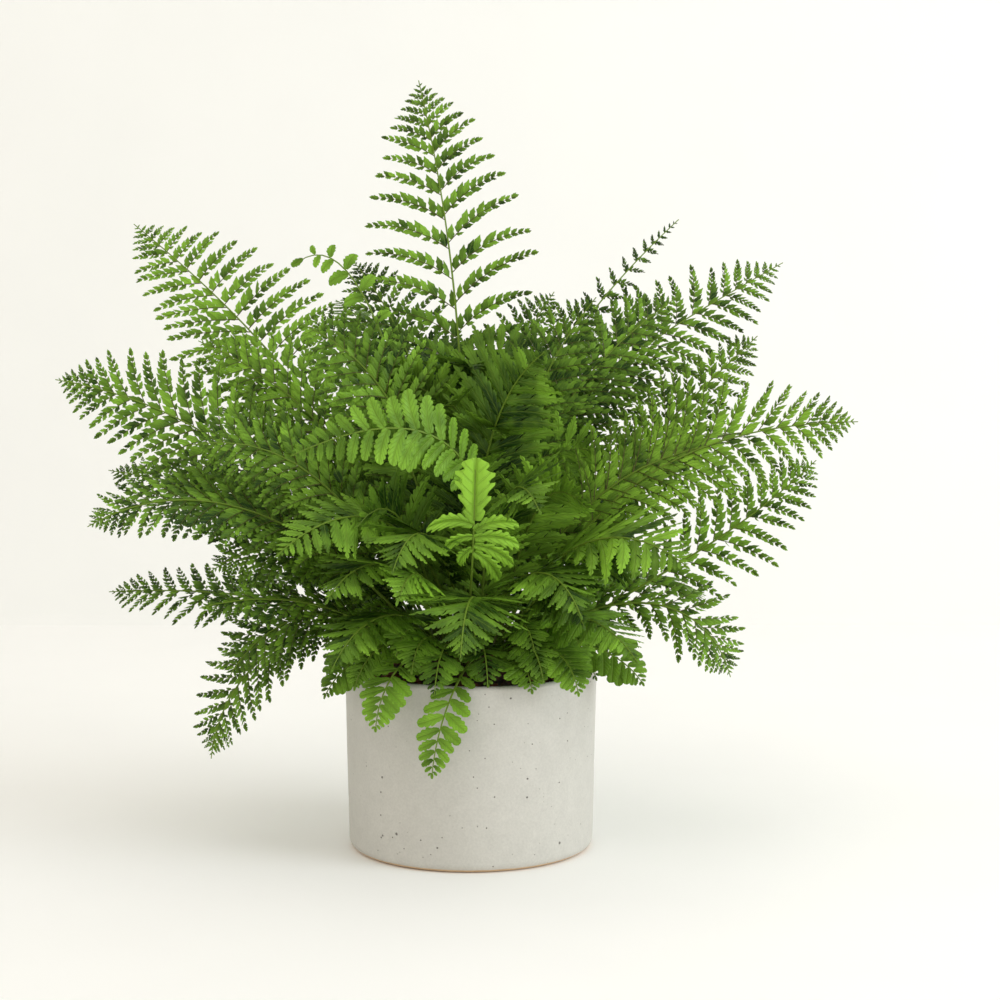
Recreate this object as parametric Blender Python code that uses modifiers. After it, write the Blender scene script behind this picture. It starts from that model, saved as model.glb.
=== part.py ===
"""A lace fern in a round stoneware pot, at its real size.

Metres, +Z up, origin at the middle of the pot's flat base. The pot is a turned shell. Potting mix fills
it, the fern's rhizome sits in a socket in the mix, and the stalk of each frond stands in its own hole in
the rhizome. A frond is one thin arched sheet, cut to its rib into leaflets, and thicker along the rib.
Leaflets that would meet another frond, the pot or the mix are swung aside or made shorter.
"""

import math
from collections import namedtuple

import bmesh
import bpy
import numpy as np
from mathutils import Matrix, Vector
from mathutils.bvhtree import BVHTree

MM = 0.001

# The pot
POT_HEIGHT = 116 * MM
RIM_RADIUS = 80 * MM
FOOT_RADIUS = 78 * MM
FOOT_ROUNDING = 6 * MM
POT_WALL = 5 * MM
POT_FLOOR = 8 * MM
POT_SIDES = 36
MIX_SIDES = 24

# The potting mix and the rhizome
FIT_GAP = 0.4 * MM
MIX_EDGE_Z = 107 * MM
MIX_MIDDLE_Z = 112 * MM
RHIZOME_RADIUS = 37 * MM
RHIZOME_SHOULDER_Z = 110 * MM
RHIZOME_HEIGHT = 16 * MM
SOCKET_FLOOR_Z = 96 * MM
RHIZOME_SIDES = 14

# The fronds
BLADE_THICKNESS = 0.8 * MM
RIB_THICKNESS = 2.0 * MM
STALK_HALF_WIDTH = 1.25 * MM
TIP_HALF_WIDTH = 0.5 * MM
STALK_STEPS = 3
ROOT_DEPTH = 8 * MM
HOLE_SIDE = 3.6 * MM
LEAFLET_ROOT = 3.4 * MM
CROWDING = 1.3
FACE_PLACE = 0.7
CLEARANCE = 1.7 * MM
RIB_MARGIN = 3.0 * MM
TIP_SPREAD = 1.6 * MM
SWINGS = (0, 12, -12, 24, -24, 36, -36)
SHARES = (1.0, 0.8, 0.6, 0.4, 0.25)

# A leaflet starts and ends at these angles from the rib. droop is a share of its length, fill is its half width
# as a share of its room along the rib, and outline has its corners, along it and across it.
Form = namedtuple("Form", "start end droop fill colour outline")
LACY = Form(
    46, 82, 0.03, 0.43, (0.10, 0.25, 0.03, 1), ((0.45, -0.85), (1.0, 0.0), (0.62, 0.75), (0.12, 1.0))
)
BROAD = Form(
    58, 86, 0.05, 0.42, (0.13, 0.33, 0.04, 1), ((0.62, -0.95), (1.0, 0.0), (0.78, 0.95), (0.22, 1.0))
)
YOUNG = Form(
    66, 104, 0.22, 0.40, (0.20, 0.42, 0.06, 1), ((0.55, -0.9), (1.0, 0.0), (0.72, 0.9), (0.26, 0.8))
)
LEAFLET_TRIANGLES = ((0, 1, 4), (0, 4, 5), (1, 3, 4), (1, 2, 3))

# Lengths in millimetres and angles in degrees. ring and bearing place the stalk on the rhizome, rise and end
# are the rib's pitch at its two ends, bow is how far each end pulls on the arch, lean is how far the rib leaves
# to the left of its tip, face is where the blade's upper side looks, as an azimuth and an elevation. width is
# the longest leaflet, pairs counts them below the tip's, and bare is the share of the rib that is stalk.
Frond = namedtuple("Frond", "name form ring bearing tip rise end bow lean face width pairs bare")
FRONDS = (
    Frond("top", LACY, 6, 100, (-33, 28, 486), 88, 74, 0.38, 0, (272, 8), 62, 10, 0.36),
    Frond("upper_left", LACY, 16, 165, (-220, 60, 396), 67, 37, 0.38, 0, (262, 34), 62, 9, 0.32),
    Frond("left", LACY, 22, 186, (-254, -40, 300), 48, 10, 0.38, 0, (255, 36), 56, 9, 0.32),
    Frond("left_behind", LACY, 23, 164, (-241, 70, 234), 50, 6, 0.40, 0, (255, 50), 44, 7, 0.32),
    Frond("left_mid", LACY, 24, 205, (-227, -90, 215), 54, -28, 0.38, 0, (242, 44), 48, 7, 0.28),
    Frond("left_low", LACY, 31, 172, (-237, 40, 157), 30, -4, 0.38, 0, (258, 50), 34, 7, 0.38),
    Frond("left_short", LACY, 31, 206, (-161, -90, 166), 40, -10, 0.38, 0, (250, 50), 32, 6, 0.36),
    Frond("left_hanging", LACY, 31, 190, (-159, -60, 68), 56, -84, 0.50, 0, (240, 30), 36, 7, 0.34),
    Frond("upper_right", LACY, 18, 14, (202, 50, 371), 84, 28, 0.50, 0, (278, 34), 56, 9, 0.32),
    Frond("right_mid", LACY, 20, 348, (175, -50, 327), 68, 44, 0.38, 0, (274, 30), 34, 7, 0.46),
    Frond("right", LACY, 23, 334, (230, -95, 278), 64, 2, 0.42, 0, (290, 34), 52, 9, 0.28),
    Frond("right_low", LACY, 31, 2, (220, 10, 246), 34, 44, 0.36, 0, (278, 36), 42, 8, 0.32),
    Frond("right_hanging", LACY, 31, 328, (158, -78, 122), 54, -74, 0.46, 0, (292, 34), 36, 7, 0.34),
    Frond("right_thin", LACY, 10, 45, (135, 60, 399), 86, 40, 0.42, 0, (300, 20), 26, 6, 0.50),
    Frond("right_up", LACY, 15, 330, (78, -24, 350), 82, 50, 0.38, 0, (275, 20), 46, 7, 0.34),
    Frond("back_up", LACY, 13, 80, (54, 60, 352), 86, 45, 0.38, 0, (270, 15), 42, 7, 0.38),
    Frond("back_left_up", LACY, 13, 130, (-78, 72, 372), 82, 40, 0.38, 0, (275, 20), 46, 7, 0.38),
    Frond("middle_left", LACY, 14, 206, (-105, -42, 335), 80, 22, 0.38, 0, (262, 28), 50, 7, 0.32),
    Frond("middle_front", LACY, 6, 252, (45, -74, 318), 84, 25, 0.38, 0, (270, 30), 50, 7, 0.30),
    Frond("centre_right", LACY, 13, 292, (42, -112, 226), 80, -38, 0.46, 0, (285, 30), 42, 6, 0.34),
    Frond("centre_left", LACY, 12, 252, (-44, -118, 192), 80, -48, 0.48, 0, (255, 30), 42, 6, 0.34),
    Frond("front_fan", LACY, 25, 296, (-4, -148, 146), 74, -64, 0.44, 0, (270, 40), 50, 7, 0.30),
    Frond("front_left_mid", LACY, 18, 224, (-84, -104, 172), 76, -46, 0.46, 0, (240, 40), 38, 6, 0.34),
    Frond("front_right_mid", LACY, 22, 284, (66, -122, 166), 76, -52, 0.46, 0, (290, 40), 40, 6, 0.34),
    Frond("front_right", LACY, 20, 314, (128, -124, 195), 68, -30, 0.42, 0, (288, 40), 44, 7, 0.32),
    Frond("back_right", LACY, 24, 35, (190, 130, 255), 60, 0, 0.38, 0, (215, 55), 46, 6, 0.32),
    Frond("back_right_high", LACY, 20, 58, (112, 150, 330), 70, 12, 0.38, 0, (242, 50), 46, 6, 0.34),
    Frond("back", LACY, 24, 92, (15, 200, 285), 66, -5, 0.38, 0, (268, 55), 46, 6, 0.32),
    Frond("back_left_high", LACY, 19, 122, (-95, 150, 345), 72, 15, 0.38, 0, (293, 50), 46, 6, 0.34),
    Frond("back_left", LACY, 24, 148, (-180, 132, 272), 60, 0, 0.38, 0, (325, 50), 46, 6, 0.32),
    Frond("back_right_low", LACY, 31, 42, (160, 148, 135), 46, -36, 0.38, 0, (225, 65), 40, 6, 0.32),
    Frond("back_low", LACY, 31, 98, (-28, 205, 130), 46, -42, 0.38, 0, (278, 65), 40, 6, 0.32),
    Frond("back_left_low", LACY, 31, 146, (-168, 128, 142), 46, -32, 0.38, 0, (330, 65), 40, 6, 0.32),
    Frond("small_arch", BROAD, 12, 182, (-109, 4, 371), 84, -38, 0.25, 0, (265, 20), 13, 6, 0.56),
    Frond("front_arm", BROAD, 6, 305, (-105, -98, 258), 72, -25, 0.60, 84, (262, 20), 25, 7, 0.42),
    Frond("front_left", BROAD, 19, 243, (-113, -112, 200), 84, -34, 0.52, 0, (245, 35), 30, 6, 0.40),
    Frond("young", YOUNG, 28, 262, (4, -108, 251), 50, 84, 0.38, 0, (274, 20), 30, 3, 0.64),
    Frond("front_left_low", LACY, 25, 232, (-80, -116, 134), 66, -50, 0.44, 0, (245, 45), 36, 6, 0.34),
    Frond("front_right_low", BROAD, 26, 320, (100, -106, 136), 62, -45, 0.42, 0, (300, 45), 30, 6, 0.38),
    Frond("rim_front", BROAD, 31, 284, (-22, -106, 66), 62, -84, 0.50, 34, (255, 25), 16, 6, 0.50),
    Frond("rim_middle", BROAD, 31, 300, (38, -88, 114), 58, -68, 0.44, 0, (285, 40), 18, 4, 0.42),
    Frond("rim_left", BROAD, 31, 242, (-56, -95, 92), 60, -84, 0.48, 0, (255, 25), 17, 4, 0.46),
    Frond("rim_far_left", BROAD, 31, 221, (-90, -52, 104), 55, -64, 0.45, 0, (240, 40), 18, 4, 0.44),
    Frond("rim_right", BROAD, 31, 341, (108, -40, 110), 54, -56, 0.40, 0, (280, 40), 19, 5, 0.42),
    Frond("rim_front_right", BROAD, 31, 313, (66, -86, 112), 60, -75, 0.46, 0, (285, 30), 17, 4, 0.44),
    Frond("rim_back_right", BROAD, 31, 64, (52, 98, 88), 60, -85, 0.50, 0, (70, 30), 19, 3, 0.44),
    Frond("rim_back_left", BROAD, 31, 118, (-44, 102, 94), 60, -80, 0.50, 0, (105, 30), 19, 3, 0.44),
)


def clear_scene():
    for obj in list(bpy.data.objects):
        bpy.data.objects.remove(obj)


def collection(name):
    made = bpy.data.collections.new(name)
    bpy.context.scene.collection.children.link(made)
    return made


def material(name, colour, roughness):
    """A Principled material of one colour."""
    made = bpy.data.materials.new(name)
    made.use_nodes = True
    shader = made.node_tree.nodes["Principled BSDF"]
    shader.inputs["Base Color"].default_value = colour
    shader.inputs["Roughness"].default_value = roughness
    shader.inputs["Metallic"].default_value = 0.0
    return made


def new_object(name, mesh, group, finish=None):
    obj = bpy.data.objects.new(name, mesh)
    group.objects.link(obj)
    if finish:
        mesh.materials.append(finish)
    return obj


def applied(obj):
    """Swaps the object's mesh for the one that its modifiers make, and removes them."""
    bpy.context.view_layer.update()
    graph = bpy.context.evaluated_depsgraph_get()
    mesh = bpy.data.meshes.new_from_object(obj.evaluated_get(graph))
    obj.modifiers.clear()
    obj.data = mesh
    return obj


def turned(name, profile, sides, group, finish):
    """A solid turned about Z. profile runs from the axis to the axis, up the inside and down the outside."""
    mesh = bpy.data.meshes.new(name)
    points = [(radius, 0, height) for radius, height in profile]
    mesh.from_pydata(points, [(i, i + 1) for i in range(len(points) - 1)], [])
    obj = new_object(name, mesh, group)
    screw = obj.modifiers.new("Turn", "SCREW")
    screw.steps = screw.render_steps = sides
    screw.use_merge_vertices = True
    screw.merge_threshold = 0.01 * MM
    screw.use_smooth_shade = True
    applied(obj)
    obj.data.materials.clear()
    obj.data.materials.append(finish)
    obj.data.set_sharp_from_angle(angle=math.radians(35))
    return obj


def arc(centre, radius, first, last, steps):
    """Points (radius, height) on a round stretch of a profile, from one angle to another in degrees."""
    angles = [math.radians(first + (last - first) * i / steps) for i in range(steps + 1)]
    return [(centre[0] + radius * math.cos(a), centre[1] + radius * math.sin(a)) for a in angles]


def inner_radius(height):
    """The pot's inside radius at this height. The wall is as thick all the way up."""
    return FOOT_RADIUS - POT_WALL + (RIM_RADIUS - FOOT_RADIUS) * height / POT_HEIGHT


def make_pot(group):
    rim_round = POT_WALL / 2
    rim_centre = (RIM_RADIUS - rim_round, POT_HEIGHT - rim_round)
    foot_centre = (FOOT_RADIUS - FOOT_ROUNDING, FOOT_ROUNDING)
    profile = [(0, POT_FLOOR), (inner_radius(POT_FLOOR), POT_FLOOR)]
    profile += arc(rim_centre, rim_round, 180, 0, 4)
    profile += arc(foot_centre, FOOT_ROUNDING, 0, -90, 2)
    profile += [(0, 0)]
    return turned("pot", profile, POT_SIDES, group, material("stoneware", (0.56, 0.55, 0.51, 1), 0.75))


def mix_height(radius):
    """The mix is heaped in the middle."""
    return MIX_MIDDLE_Z - (MIX_MIDDLE_Z - MIX_EDGE_Z) * (radius / RIM_RADIUS) ** 2


def roughen(obj, above, height, waves):
    """Raises and lowers the top of a turned solid by crossed waves, which fade at its outer edge."""
    reach = max(v.co.xy.length for v in obj.data.vertices)
    for vertex in obj.data.vertices:
        x, y, z = vertex.co
        if z > above:
            fade = max(0.0, 1 - (vertex.co.xy.length / reach) ** 4)
            vertex.co.z += height * fade * math.sin(waves * x) * math.cos(waves * 0.8 * y + 1)


def make_mix(group):
    socket = RHIZOME_RADIUS + FIT_GAP
    bottom = POT_FLOOR + FIT_GAP
    edge = inner_radius(MIX_EDGE_Z) - FIT_GAP
    profile = [(0, SOCKET_FLOOR_Z), (socket * 0.8, SOCKET_FLOOR_Z), (socket, SOCKET_FLOOR_Z + 6 * MM)]
    profile += [(r, mix_height(r)) for r in (socket, 50 * MM, 63 * MM)]
    profile += [(edge, mix_height(edge)), (inner_radius(bottom) - FIT_GAP, bottom), (0, bottom)]
    finish = material("potting mix", (0.05, 0.03, 0.02, 1), 0.95)
    mix = turned("potting_mix", profile, MIX_SIDES, group, finish)
    roughen(mix, SOCKET_FLOOR_Z + 8 * MM, 1.2 * MM, 210)
    return mix


def rhizome_height(radius):
    """The rhizome's top is a low dome."""
    return RHIZOME_SHOULDER_Z + RHIZOME_HEIGHT * math.sqrt(max(0.0, 1 - (radius / RHIZOME_RADIUS) ** 2))


def hole_mesh(frond):
    """A square prism round the lowest stretch of a stalk."""
    foot, above = rib_points(frond, stations(frond)[:2])
    along = unit(above - foot)
    across = rib_frames(frond, np.array([0.0]))[1][0]
    across = unit(across - (across @ along) * along)
    other = np.cross(along, across)
    length = ROOT_DEPTH * 3
    corner = HOLE_SIDE / math.sqrt(2)
    shape = bmesh.new()
    bmesh.ops.create_cone(shape, cap_ends=True, segments=4, radius1=corner, radius2=corner, depth=length)
    axes = np.column_stack([unit(across + other), unit(other - across), along])
    place = Matrix(axes.tolist()).to_4x4()
    place.translation = Vector(foot + along * (length / 2 - FIT_GAP))
    shape.transform(place)
    mesh = bpy.data.meshes.new("hole_" + frond.name)
    shape.to_mesh(mesh)
    shape.free()
    return mesh


def make_rhizome(group, fronds, cutters):
    """The dome that the stalks stand in, with a square hole along the foot of each stalk."""
    floor = SOCKET_FLOOR_Z + FIT_GAP
    rings = [RHIZOME_RADIUS * share for share in (0.0, 0.35, 0.65, 0.88)]
    profile = [(r, rhizome_height(r)) for r in rings] + [(RHIZOME_RADIUS, RHIZOME_SHOULDER_Z)]
    profile += [(RHIZOME_RADIUS, SOCKET_FLOOR_Z + 6.5 * MM), (RHIZOME_RADIUS * 0.8, floor), (0, floor)]
    finish = material("rhizome", (0.10, 0.05, 0.03, 1), 0.9)
    rhizome = turned("rhizome", profile, RHIZOME_SIDES, group, finish)
    for frond in fronds:
        mesh = hole_mesh(frond)
        cutter = new_object(mesh.name, mesh, cutters)
        cutter.hide_render = True
        cutter.display_type = "WIRE"
    cut = rhizome.modifiers.new("Stalk holes", "BOOLEAN")
    cut.operation = "DIFFERENCE"
    cut.operand_type = "COLLECTION"
    cut.collection = cutters
    cut.solver = "EXACT"
    return rhizome


def compass(azimuth, elevation):
    """The unit vector at an azimuth, anticlockwise from +X, and an elevation, both in degrees."""
    a, e = math.radians(azimuth), math.radians(elevation)
    return np.array([math.cos(a) * math.cos(e), math.sin(a) * math.cos(e), math.sin(e)])


def unit(vectors):
    return vectors / np.linalg.norm(vectors, axis=-1, keepdims=True)


def heading(frond):
    """The azimuth from the stalk's foot to the frond's tip."""
    foot = frond.ring * compass(frond.bearing, 0)
    return math.degrees(math.atan2(frond.tip[1] - foot[1], frond.tip[0] - foot[0]))


def rib_controls(frond):
    """The four points of the cubic curve that a rib follows, from inside the rhizome to the frond's tip."""
    ring, tip = frond.ring * MM, np.array(frond.tip) * MM
    surface = ring * compass(frond.bearing, 0) + np.array([0, 0, rhizome_height(ring)])
    leaving = compass(heading(frond) + frond.lean, frond.rise)
    arriving = compass(heading(frond) - frond.lean / 2, frond.end)
    foot = surface - ROOT_DEPTH * leaving
    pull = frond.bow * np.linalg.norm(tip - foot)
    return np.array([foot, foot + pull * leaving, tip - pull * arriving, tip])


def rib_points(frond, t):
    """Points of the cubic curve at the parameters t, which run from 0 to 1."""
    weights = np.stack([(1 - t) ** 3, 3 * t * (1 - t) ** 2, 3 * t**2 * (1 - t), t**3], axis=1)
    return weights @ rib_controls(frond)


def arch_frames(frond, t):
    """The rib's direction, the level direction across its arch and the arch's upper side, at t."""
    steps = np.diff(rib_controls(frond), axis=0)
    weights = np.stack([(1 - t) ** 2, 2 * t * (1 - t), t**2], axis=1)
    tangent = unit(weights @ steps)
    level = np.cross(compass(heading(frond), 0), [0, 0, 1])
    level = unit(level - (tangent @ level)[:, None] * tangent)
    return tangent, level, np.cross(level, tangent)


def rib_frames(frond, t):
    """The rib's direction, the direction across the blade, and the blade's normal, at t. The blade is twisted
    from the arch's upper side by one angle all along, which turns its face to where the frond looks."""
    _, level, upper = arch_frames(frond, np.array([FACE_PLACE]))
    face = compass(*frond.face)
    twist = math.atan2(level[0] @ face, upper[0] @ face)
    tangent, level, upper = arch_frames(frond, t)
    normal = math.cos(twist) * upper + math.sin(twist) * level
    return tangent, np.cross(tangent, normal), normal


def rib_length(frond):
    points = rib_points(frond, np.linspace(0, 1, 60))
    return np.linalg.norm(np.diff(points, axis=0), axis=1).sum()


def pair_places(frond):
    """Where along the rib each pair of leaflets sits. The pairs crowd together towards the tip."""
    left = 1 - np.arange(frond.pairs) / (frond.pairs + 1)
    return 1 - (1 - frond.bare) * left**CROWDING


def leaflet_length(frond, place):
    """Full length from the blade's middle down, a little less at its foot, and short towards the tip."""
    from_tip = (1 - place) / (1 - frond.bare)
    taper = min(from_tip / 0.5, 1) ** 0.62
    foot = 1 - 0.25 * max(0.0, (from_tip - 0.6) / 0.4)
    return frond.width * MM * taper * foot


def stations(frond):
    """The rib's parameters at the stalk's steps and at both ends of each pair's root."""
    half_root = LEAFLET_ROOT / 2 / rib_length(frond)
    places = pair_places(frond)
    stalk = np.linspace(0, frond.bare - 3 * half_root, STALK_STEPS + 1)
    roots = np.stack([places - half_root, places + half_root], axis=1).ravel()
    return np.concatenate([stalk, roots])


def rib_edges(frond, t):
    """The two edges of the rib's strip, which narrows towards the tip."""
    points = rib_points(frond, t)
    side = rib_frames(frond, t)[1]
    half = (STALK_HALF_WIDTH + (TIP_HALF_WIDTH - STALK_HALF_WIDTH) * t)[:, None]
    return points - side * half, points + side * half


def leaflet_points(frond, place, hand, room, swing, share):
    """The outline of one leaflet, without its root: a midrib that curves away from the rib and droops, with
    corners set off to both sides of it, and none of them near the rib. hand is 1 or -1, and room is the way
    along the rib to the next pair."""
    form = frond.form
    tangent, side, normal = (axis[0] for axis in rib_frames(frond, np.array([place])))
    turn = math.radians(swing)
    outward = math.cos(turn) * hand * side + math.sin(turn) * normal
    angles = np.radians([form.start, form.end])
    first, last = (math.cos(a) * tangent + math.sin(a) * outward for a in angles)
    length = share * leaflet_length(frond, place)
    half_width = min(form.fill * room, 0.34 * length)
    root = rib_points(frond, np.array([place]))[0]
    across = unit(np.cross(np.cross(outward, tangent), outward + 0.4 * tangent))
    points = []
    for along, offset in form.outline:
        midrib = length * (along * first + along**2 / 2 * (last - first))
        drop = np.array([0, 0, -form.droop * length * along**2])
        corner = midrib + drop + offset * half_width * across
        points.append(root + corner + max(0.0, RIB_MARGIN - corner @ outward) * outward)
    return np.array(points)


def prism(points, triangles, reach):
    """A search tree of a closed solid round a patch of triangles, which it passes by reach on every side."""
    centre = points.mean(axis=0)
    normal = unit(np.cross(points[1] - points[0], points[4] - points[0]))
    wide = points + unit(points - centre) * reach
    count = len(points)
    top, bottom = wide + normal * reach, wide - normal * reach
    faces = [list(t) for t in triangles] + [[i + count for i in t[::-1]] for t in triangles]
    faces += [[i, (i + 1) % count, (i + 1) % count + count, i + count] for i in range(count)]
    return BVHTree.FromPolygons([Vector(p) for p in np.concatenate([top, bottom])], faces)


def settled_leaflet(frond, place, hand, root, room, obstacles):
    """The leaflet's outline at the first swing and length that keep it clear of every obstacle, or None."""
    for share in SHARES:
        for swing in SWINGS:
            points = leaflet_points(frond, place, hand, room, swing, share)
            patch = np.concatenate([root[:1], points, root[1:]])
            body = prism(patch, LEAFLET_TRIANGLES, CLEARANCE)
            if not any(body.overlap(tree) for tree in obstacles):
                return points
    return None


class Sheet:
    """The open surface that a frond's blade and rib are raised from."""

    def __init__(self):
        self.points, self.weights, self.faces = [], [], []

    def add(self, points, weight):
        first = len(self.points)
        self.points += [tuple(p) for p in points]
        self.weights += [weight] * len(points)
        return list(range(first, len(self.points)))

    def tree(self):
        return BVHTree.FromPolygons([Vector(p) for p in self.points], self.faces)


def rib_sheet(frond):
    """The strip along the rib, and the indices of its two edges."""
    sheet = Sheet()
    t = stations(frond)
    left, right = rib_edges(frond, t)
    lefts, rights = [], []
    for i, along in enumerate(t):
        weight = 1 - 0.7 * along
        a, b = sheet.add([left[i], right[i]], weight)
        lefts.append(a)
        rights.append(b)
    for i in range(len(t) - 1):
        sheet.faces += [(lefts[i], rights[i], rights[i + 1]), (lefts[i], rights[i + 1], lefts[i + 1])]
    return sheet, lefts, rights


def add_tip(sheet, frond, left, right):
    """The narrow leaflet at the frond's end, which stays between the last pair."""
    place = pair_places(frond)[-1]
    side = rib_frames(frond, np.array([place]))[1][0]
    ahead = rib_points(frond, np.array([(1 + place) / 2, 1.0]))
    spread = side * TIP_SPREAD
    a, b, c = sheet.add([ahead[0] + spread, ahead[1], ahead[0] - spread], 0)
    sheet.faces += [(left, right, a), (left, a, c), (c, a, b)]


def dressed(sheet, lefts, rights, frond, others, standing):
    """Adds each pair of leaflets to the rib's strip. others are the trees of the remaining fronds."""
    places = pair_places(frond)
    length = rib_length(frond)
    rooms = np.abs(np.diff(np.append(places, 1.0))) * length
    last = {1: [], -1: []}
    for pair, place in enumerate(places):
        station = STALK_STEPS + 1 + 2 * pair
        for hand, edge in ((1, rights), (-1, lefts)):
            ends = edge[station], edge[station + 1]
            root = np.array([sheet.points[i] for i in ends])
            points = settled_leaflet(frond, place, hand, root, rooms[pair], others + standing + last[hand])
            if points is None:
                continue
            middle = sheet.add(points, 0)
            loop = [ends[0], *middle, ends[1]]
            order = LEAFLET_TRIANGLES if hand == 1 else [t[::-1] for t in LEAFLET_TRIANGLES]
            sheet.faces += [tuple(loop[i] for i in t) for t in order]
            patch = [Vector(sheet.points[i]) for i in loop]
            last[hand] = [BVHTree.FromPolygons(patch, list(LEAFLET_TRIANGLES))]
    add_tip(sheet, frond, lefts[-1], rights[-1])
    return sheet


def frond_object(frond, sheet, group, finish):
    """The sheet with its thickness: the blade's at the leaflets, and more along the rib."""
    name = "frond_" + frond.name
    mesh = bpy.data.meshes.new(name)
    mesh.from_pydata(sheet.points, [], sheet.faces)
    obj = new_object(name, mesh, group, finish)
    thick = obj.vertex_groups.new(name="rib")
    for index, weight in enumerate(sheet.weights):
        thick.add([index], weight, "REPLACE")
    shell = obj.modifiers.new("Thickness", "SOLIDIFY")
    shell.thickness = RIB_THICKNESS
    shell.offset = 0
    shell.use_even_offset = False
    shell.vertex_group = thick.name
    shell.thickness_vertex_group = BLADE_THICKNESS / RIB_THICKNESS
    return obj


def make_fronds(group, standing):
    finishes = {
        LACY: material("frond green", LACY.colour, 0.5),
        BROAD: material("leaf green", BROAD.colour, 0.45),
        YOUNG: material("young green", YOUNG.colour, 0.4),
    }
    ribs = [rib_sheet(frond) for frond in FRONDS]
    trees = [sheet.tree() for sheet, _, _ in ribs]
    for index, frond in enumerate(FRONDS):
        sheet, lefts, rights = ribs[index]
        others = trees[:index] + trees[index + 1 :]
        dressed(sheet, lefts, rights, frond, others, standing)
        trees[index] = sheet.tree()
        frond_object(frond, sheet, group, finishes[frond.form])


def tree_of(obj):
    bpy.context.view_layer.update()
    return BVHTree.FromObject(obj, bpy.context.evaluated_depsgraph_get())


def main():
    clear_scene()
    group = collection("potted_fern")
    cutters = collection("cutters")
    pot = make_pot(group)
    mix = make_mix(group)
    rhizome = make_rhizome(group, FRONDS, cutters)
    make_fronds(group, [tree_of(pot), tree_of(mix), tree_of(rhizome)])


main()
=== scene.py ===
"""The looks of the potted fern: lacy fronds, a speckled stoneware pot, bark mix, and a pale studio.

The solids give every frond its rib and the reach of its leaflets. Here each one is grown again along the same
curves, with its leaflets divided once more into small toothed lobes.
"""

import math
from collections import namedtuple

import bpy
import numpy as np
from bpy.props import FloatProperty, FloatVectorProperty, IntProperty, PointerProperty
from bpy.types import Operator, Panel, PropertyGroup
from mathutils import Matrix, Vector
from mathutils.bvhtree import BVHTree


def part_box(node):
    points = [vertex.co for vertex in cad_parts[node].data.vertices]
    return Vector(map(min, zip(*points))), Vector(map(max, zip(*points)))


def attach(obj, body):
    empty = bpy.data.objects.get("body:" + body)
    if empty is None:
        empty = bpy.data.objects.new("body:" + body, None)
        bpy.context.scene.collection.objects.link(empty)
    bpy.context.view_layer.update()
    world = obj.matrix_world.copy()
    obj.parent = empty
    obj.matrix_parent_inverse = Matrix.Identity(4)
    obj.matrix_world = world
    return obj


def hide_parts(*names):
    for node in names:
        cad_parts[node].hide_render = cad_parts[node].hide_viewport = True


bl_info = {
    "name": "Potted Fern",
    "version": (1, 0, 0),
    "blender": (4, 5, 0),
    "location": "3D View > Sidebar > Fern",
    "description": "Grows a lace fern's fronds, pot and potting mix round their plain solids",
    "category": "Add Mesh",
}

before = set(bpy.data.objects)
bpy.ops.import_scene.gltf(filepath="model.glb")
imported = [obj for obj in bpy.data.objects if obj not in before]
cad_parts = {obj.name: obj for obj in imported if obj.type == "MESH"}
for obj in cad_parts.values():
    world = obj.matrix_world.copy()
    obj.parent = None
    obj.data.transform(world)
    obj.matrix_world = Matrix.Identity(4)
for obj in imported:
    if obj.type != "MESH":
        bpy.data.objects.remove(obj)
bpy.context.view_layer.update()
MM = 0.001
UP = np.array([0.0, 0.0, 1.0])

# The pot, the mix and the rhizome. The first three sizes are read from the solids, and the rest are the
# solids' own.
POT_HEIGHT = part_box("pot")[1].z
RIM_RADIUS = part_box("pot")[1].x
RHIZOME_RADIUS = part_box("rhizome")[1].x
FOOT_RADIUS = 78 * MM
FOOT_ROUNDING = 6 * MM
POT_WALL = 5 * MM
POT_FLOOR = 8 * MM
FIT_GAP = 0.4 * MM
MIX_EDGE_Z = 107 * MM
MIX_MIDDLE_Z = 112 * MM
SOCKET_FLOOR_Z = 96 * MM
RHIZOME_SHOULDER_Z = 110 * MM
RHIZOME_RISE = 16 * MM

# The fronds' curves and leaflets, as the solids have them. CROWDING draws the pairs together towards the tip,
# and a blade faces its way at FACE_PLACE along its rib. A leaflet's solid took the first of the SHARES of its
# length and of the SWINGS out of the blade's plane that fitted, with its corners RIB_MARGIN off the rib. A
# point nearer than ON_SOLID to the solid lies on it.
STALK_HALF_WIDTH = 1.25 * MM
TIP_HALF_WIDTH = 0.5 * MM
ROOT_DEPTH = 8 * MM
CROWDING = 1.3
FACE_PLACE = 0.7
RIB_MARGIN = 3.0 * MM
SWINGS = (0, 12, -12, 24, -24, 36, -36)
SHARES = (1.0, 0.8, 0.6, 0.4, 0.25)
ON_SOLID = 0.6 * MM

# The dressed leaflets. One shorter than SIMPLE is a single lobe. Pairs start FIRST_PAIR below the tip, and
# the way to the next is CLOSEST and PARTING of the way from the tip. STAGGER is how far the leaflets of a
# pair sit before and behind its place, as a share of their room. TIP_TAPER limits a leaflet's length to a
# share of the rib beyond it, and those near the tip point TIP_LEAN degrees farther forward. WHOLE_SWING is
# the share of the solid's swing that a whole leaflet keeps, and WIDEST is the most that its half width is of
# its length. A leaflet of LONG_LEAFLET has a midrib of MIDRIB_RADIUS at its root, and MIDRIB_BROWN is how
# brown the midribs of a lacy frond are.
SIMPLE = 6 * MM
FIRST_PAIR = 3.5 * MM
CLOSEST = 2.6 * MM
PARTING = 0.19
STAGGER = 0.12
TIP_TAPER = 0.8
TIP_LEAN = 14
WHOLE_SWING = 0.35
WIDEST = 0.34
LONG_LEAFLET = 50 * MM
MIDRIB_BROWN = 0.8
MIDRIB_RADIUS = 0.40 * MM

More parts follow.
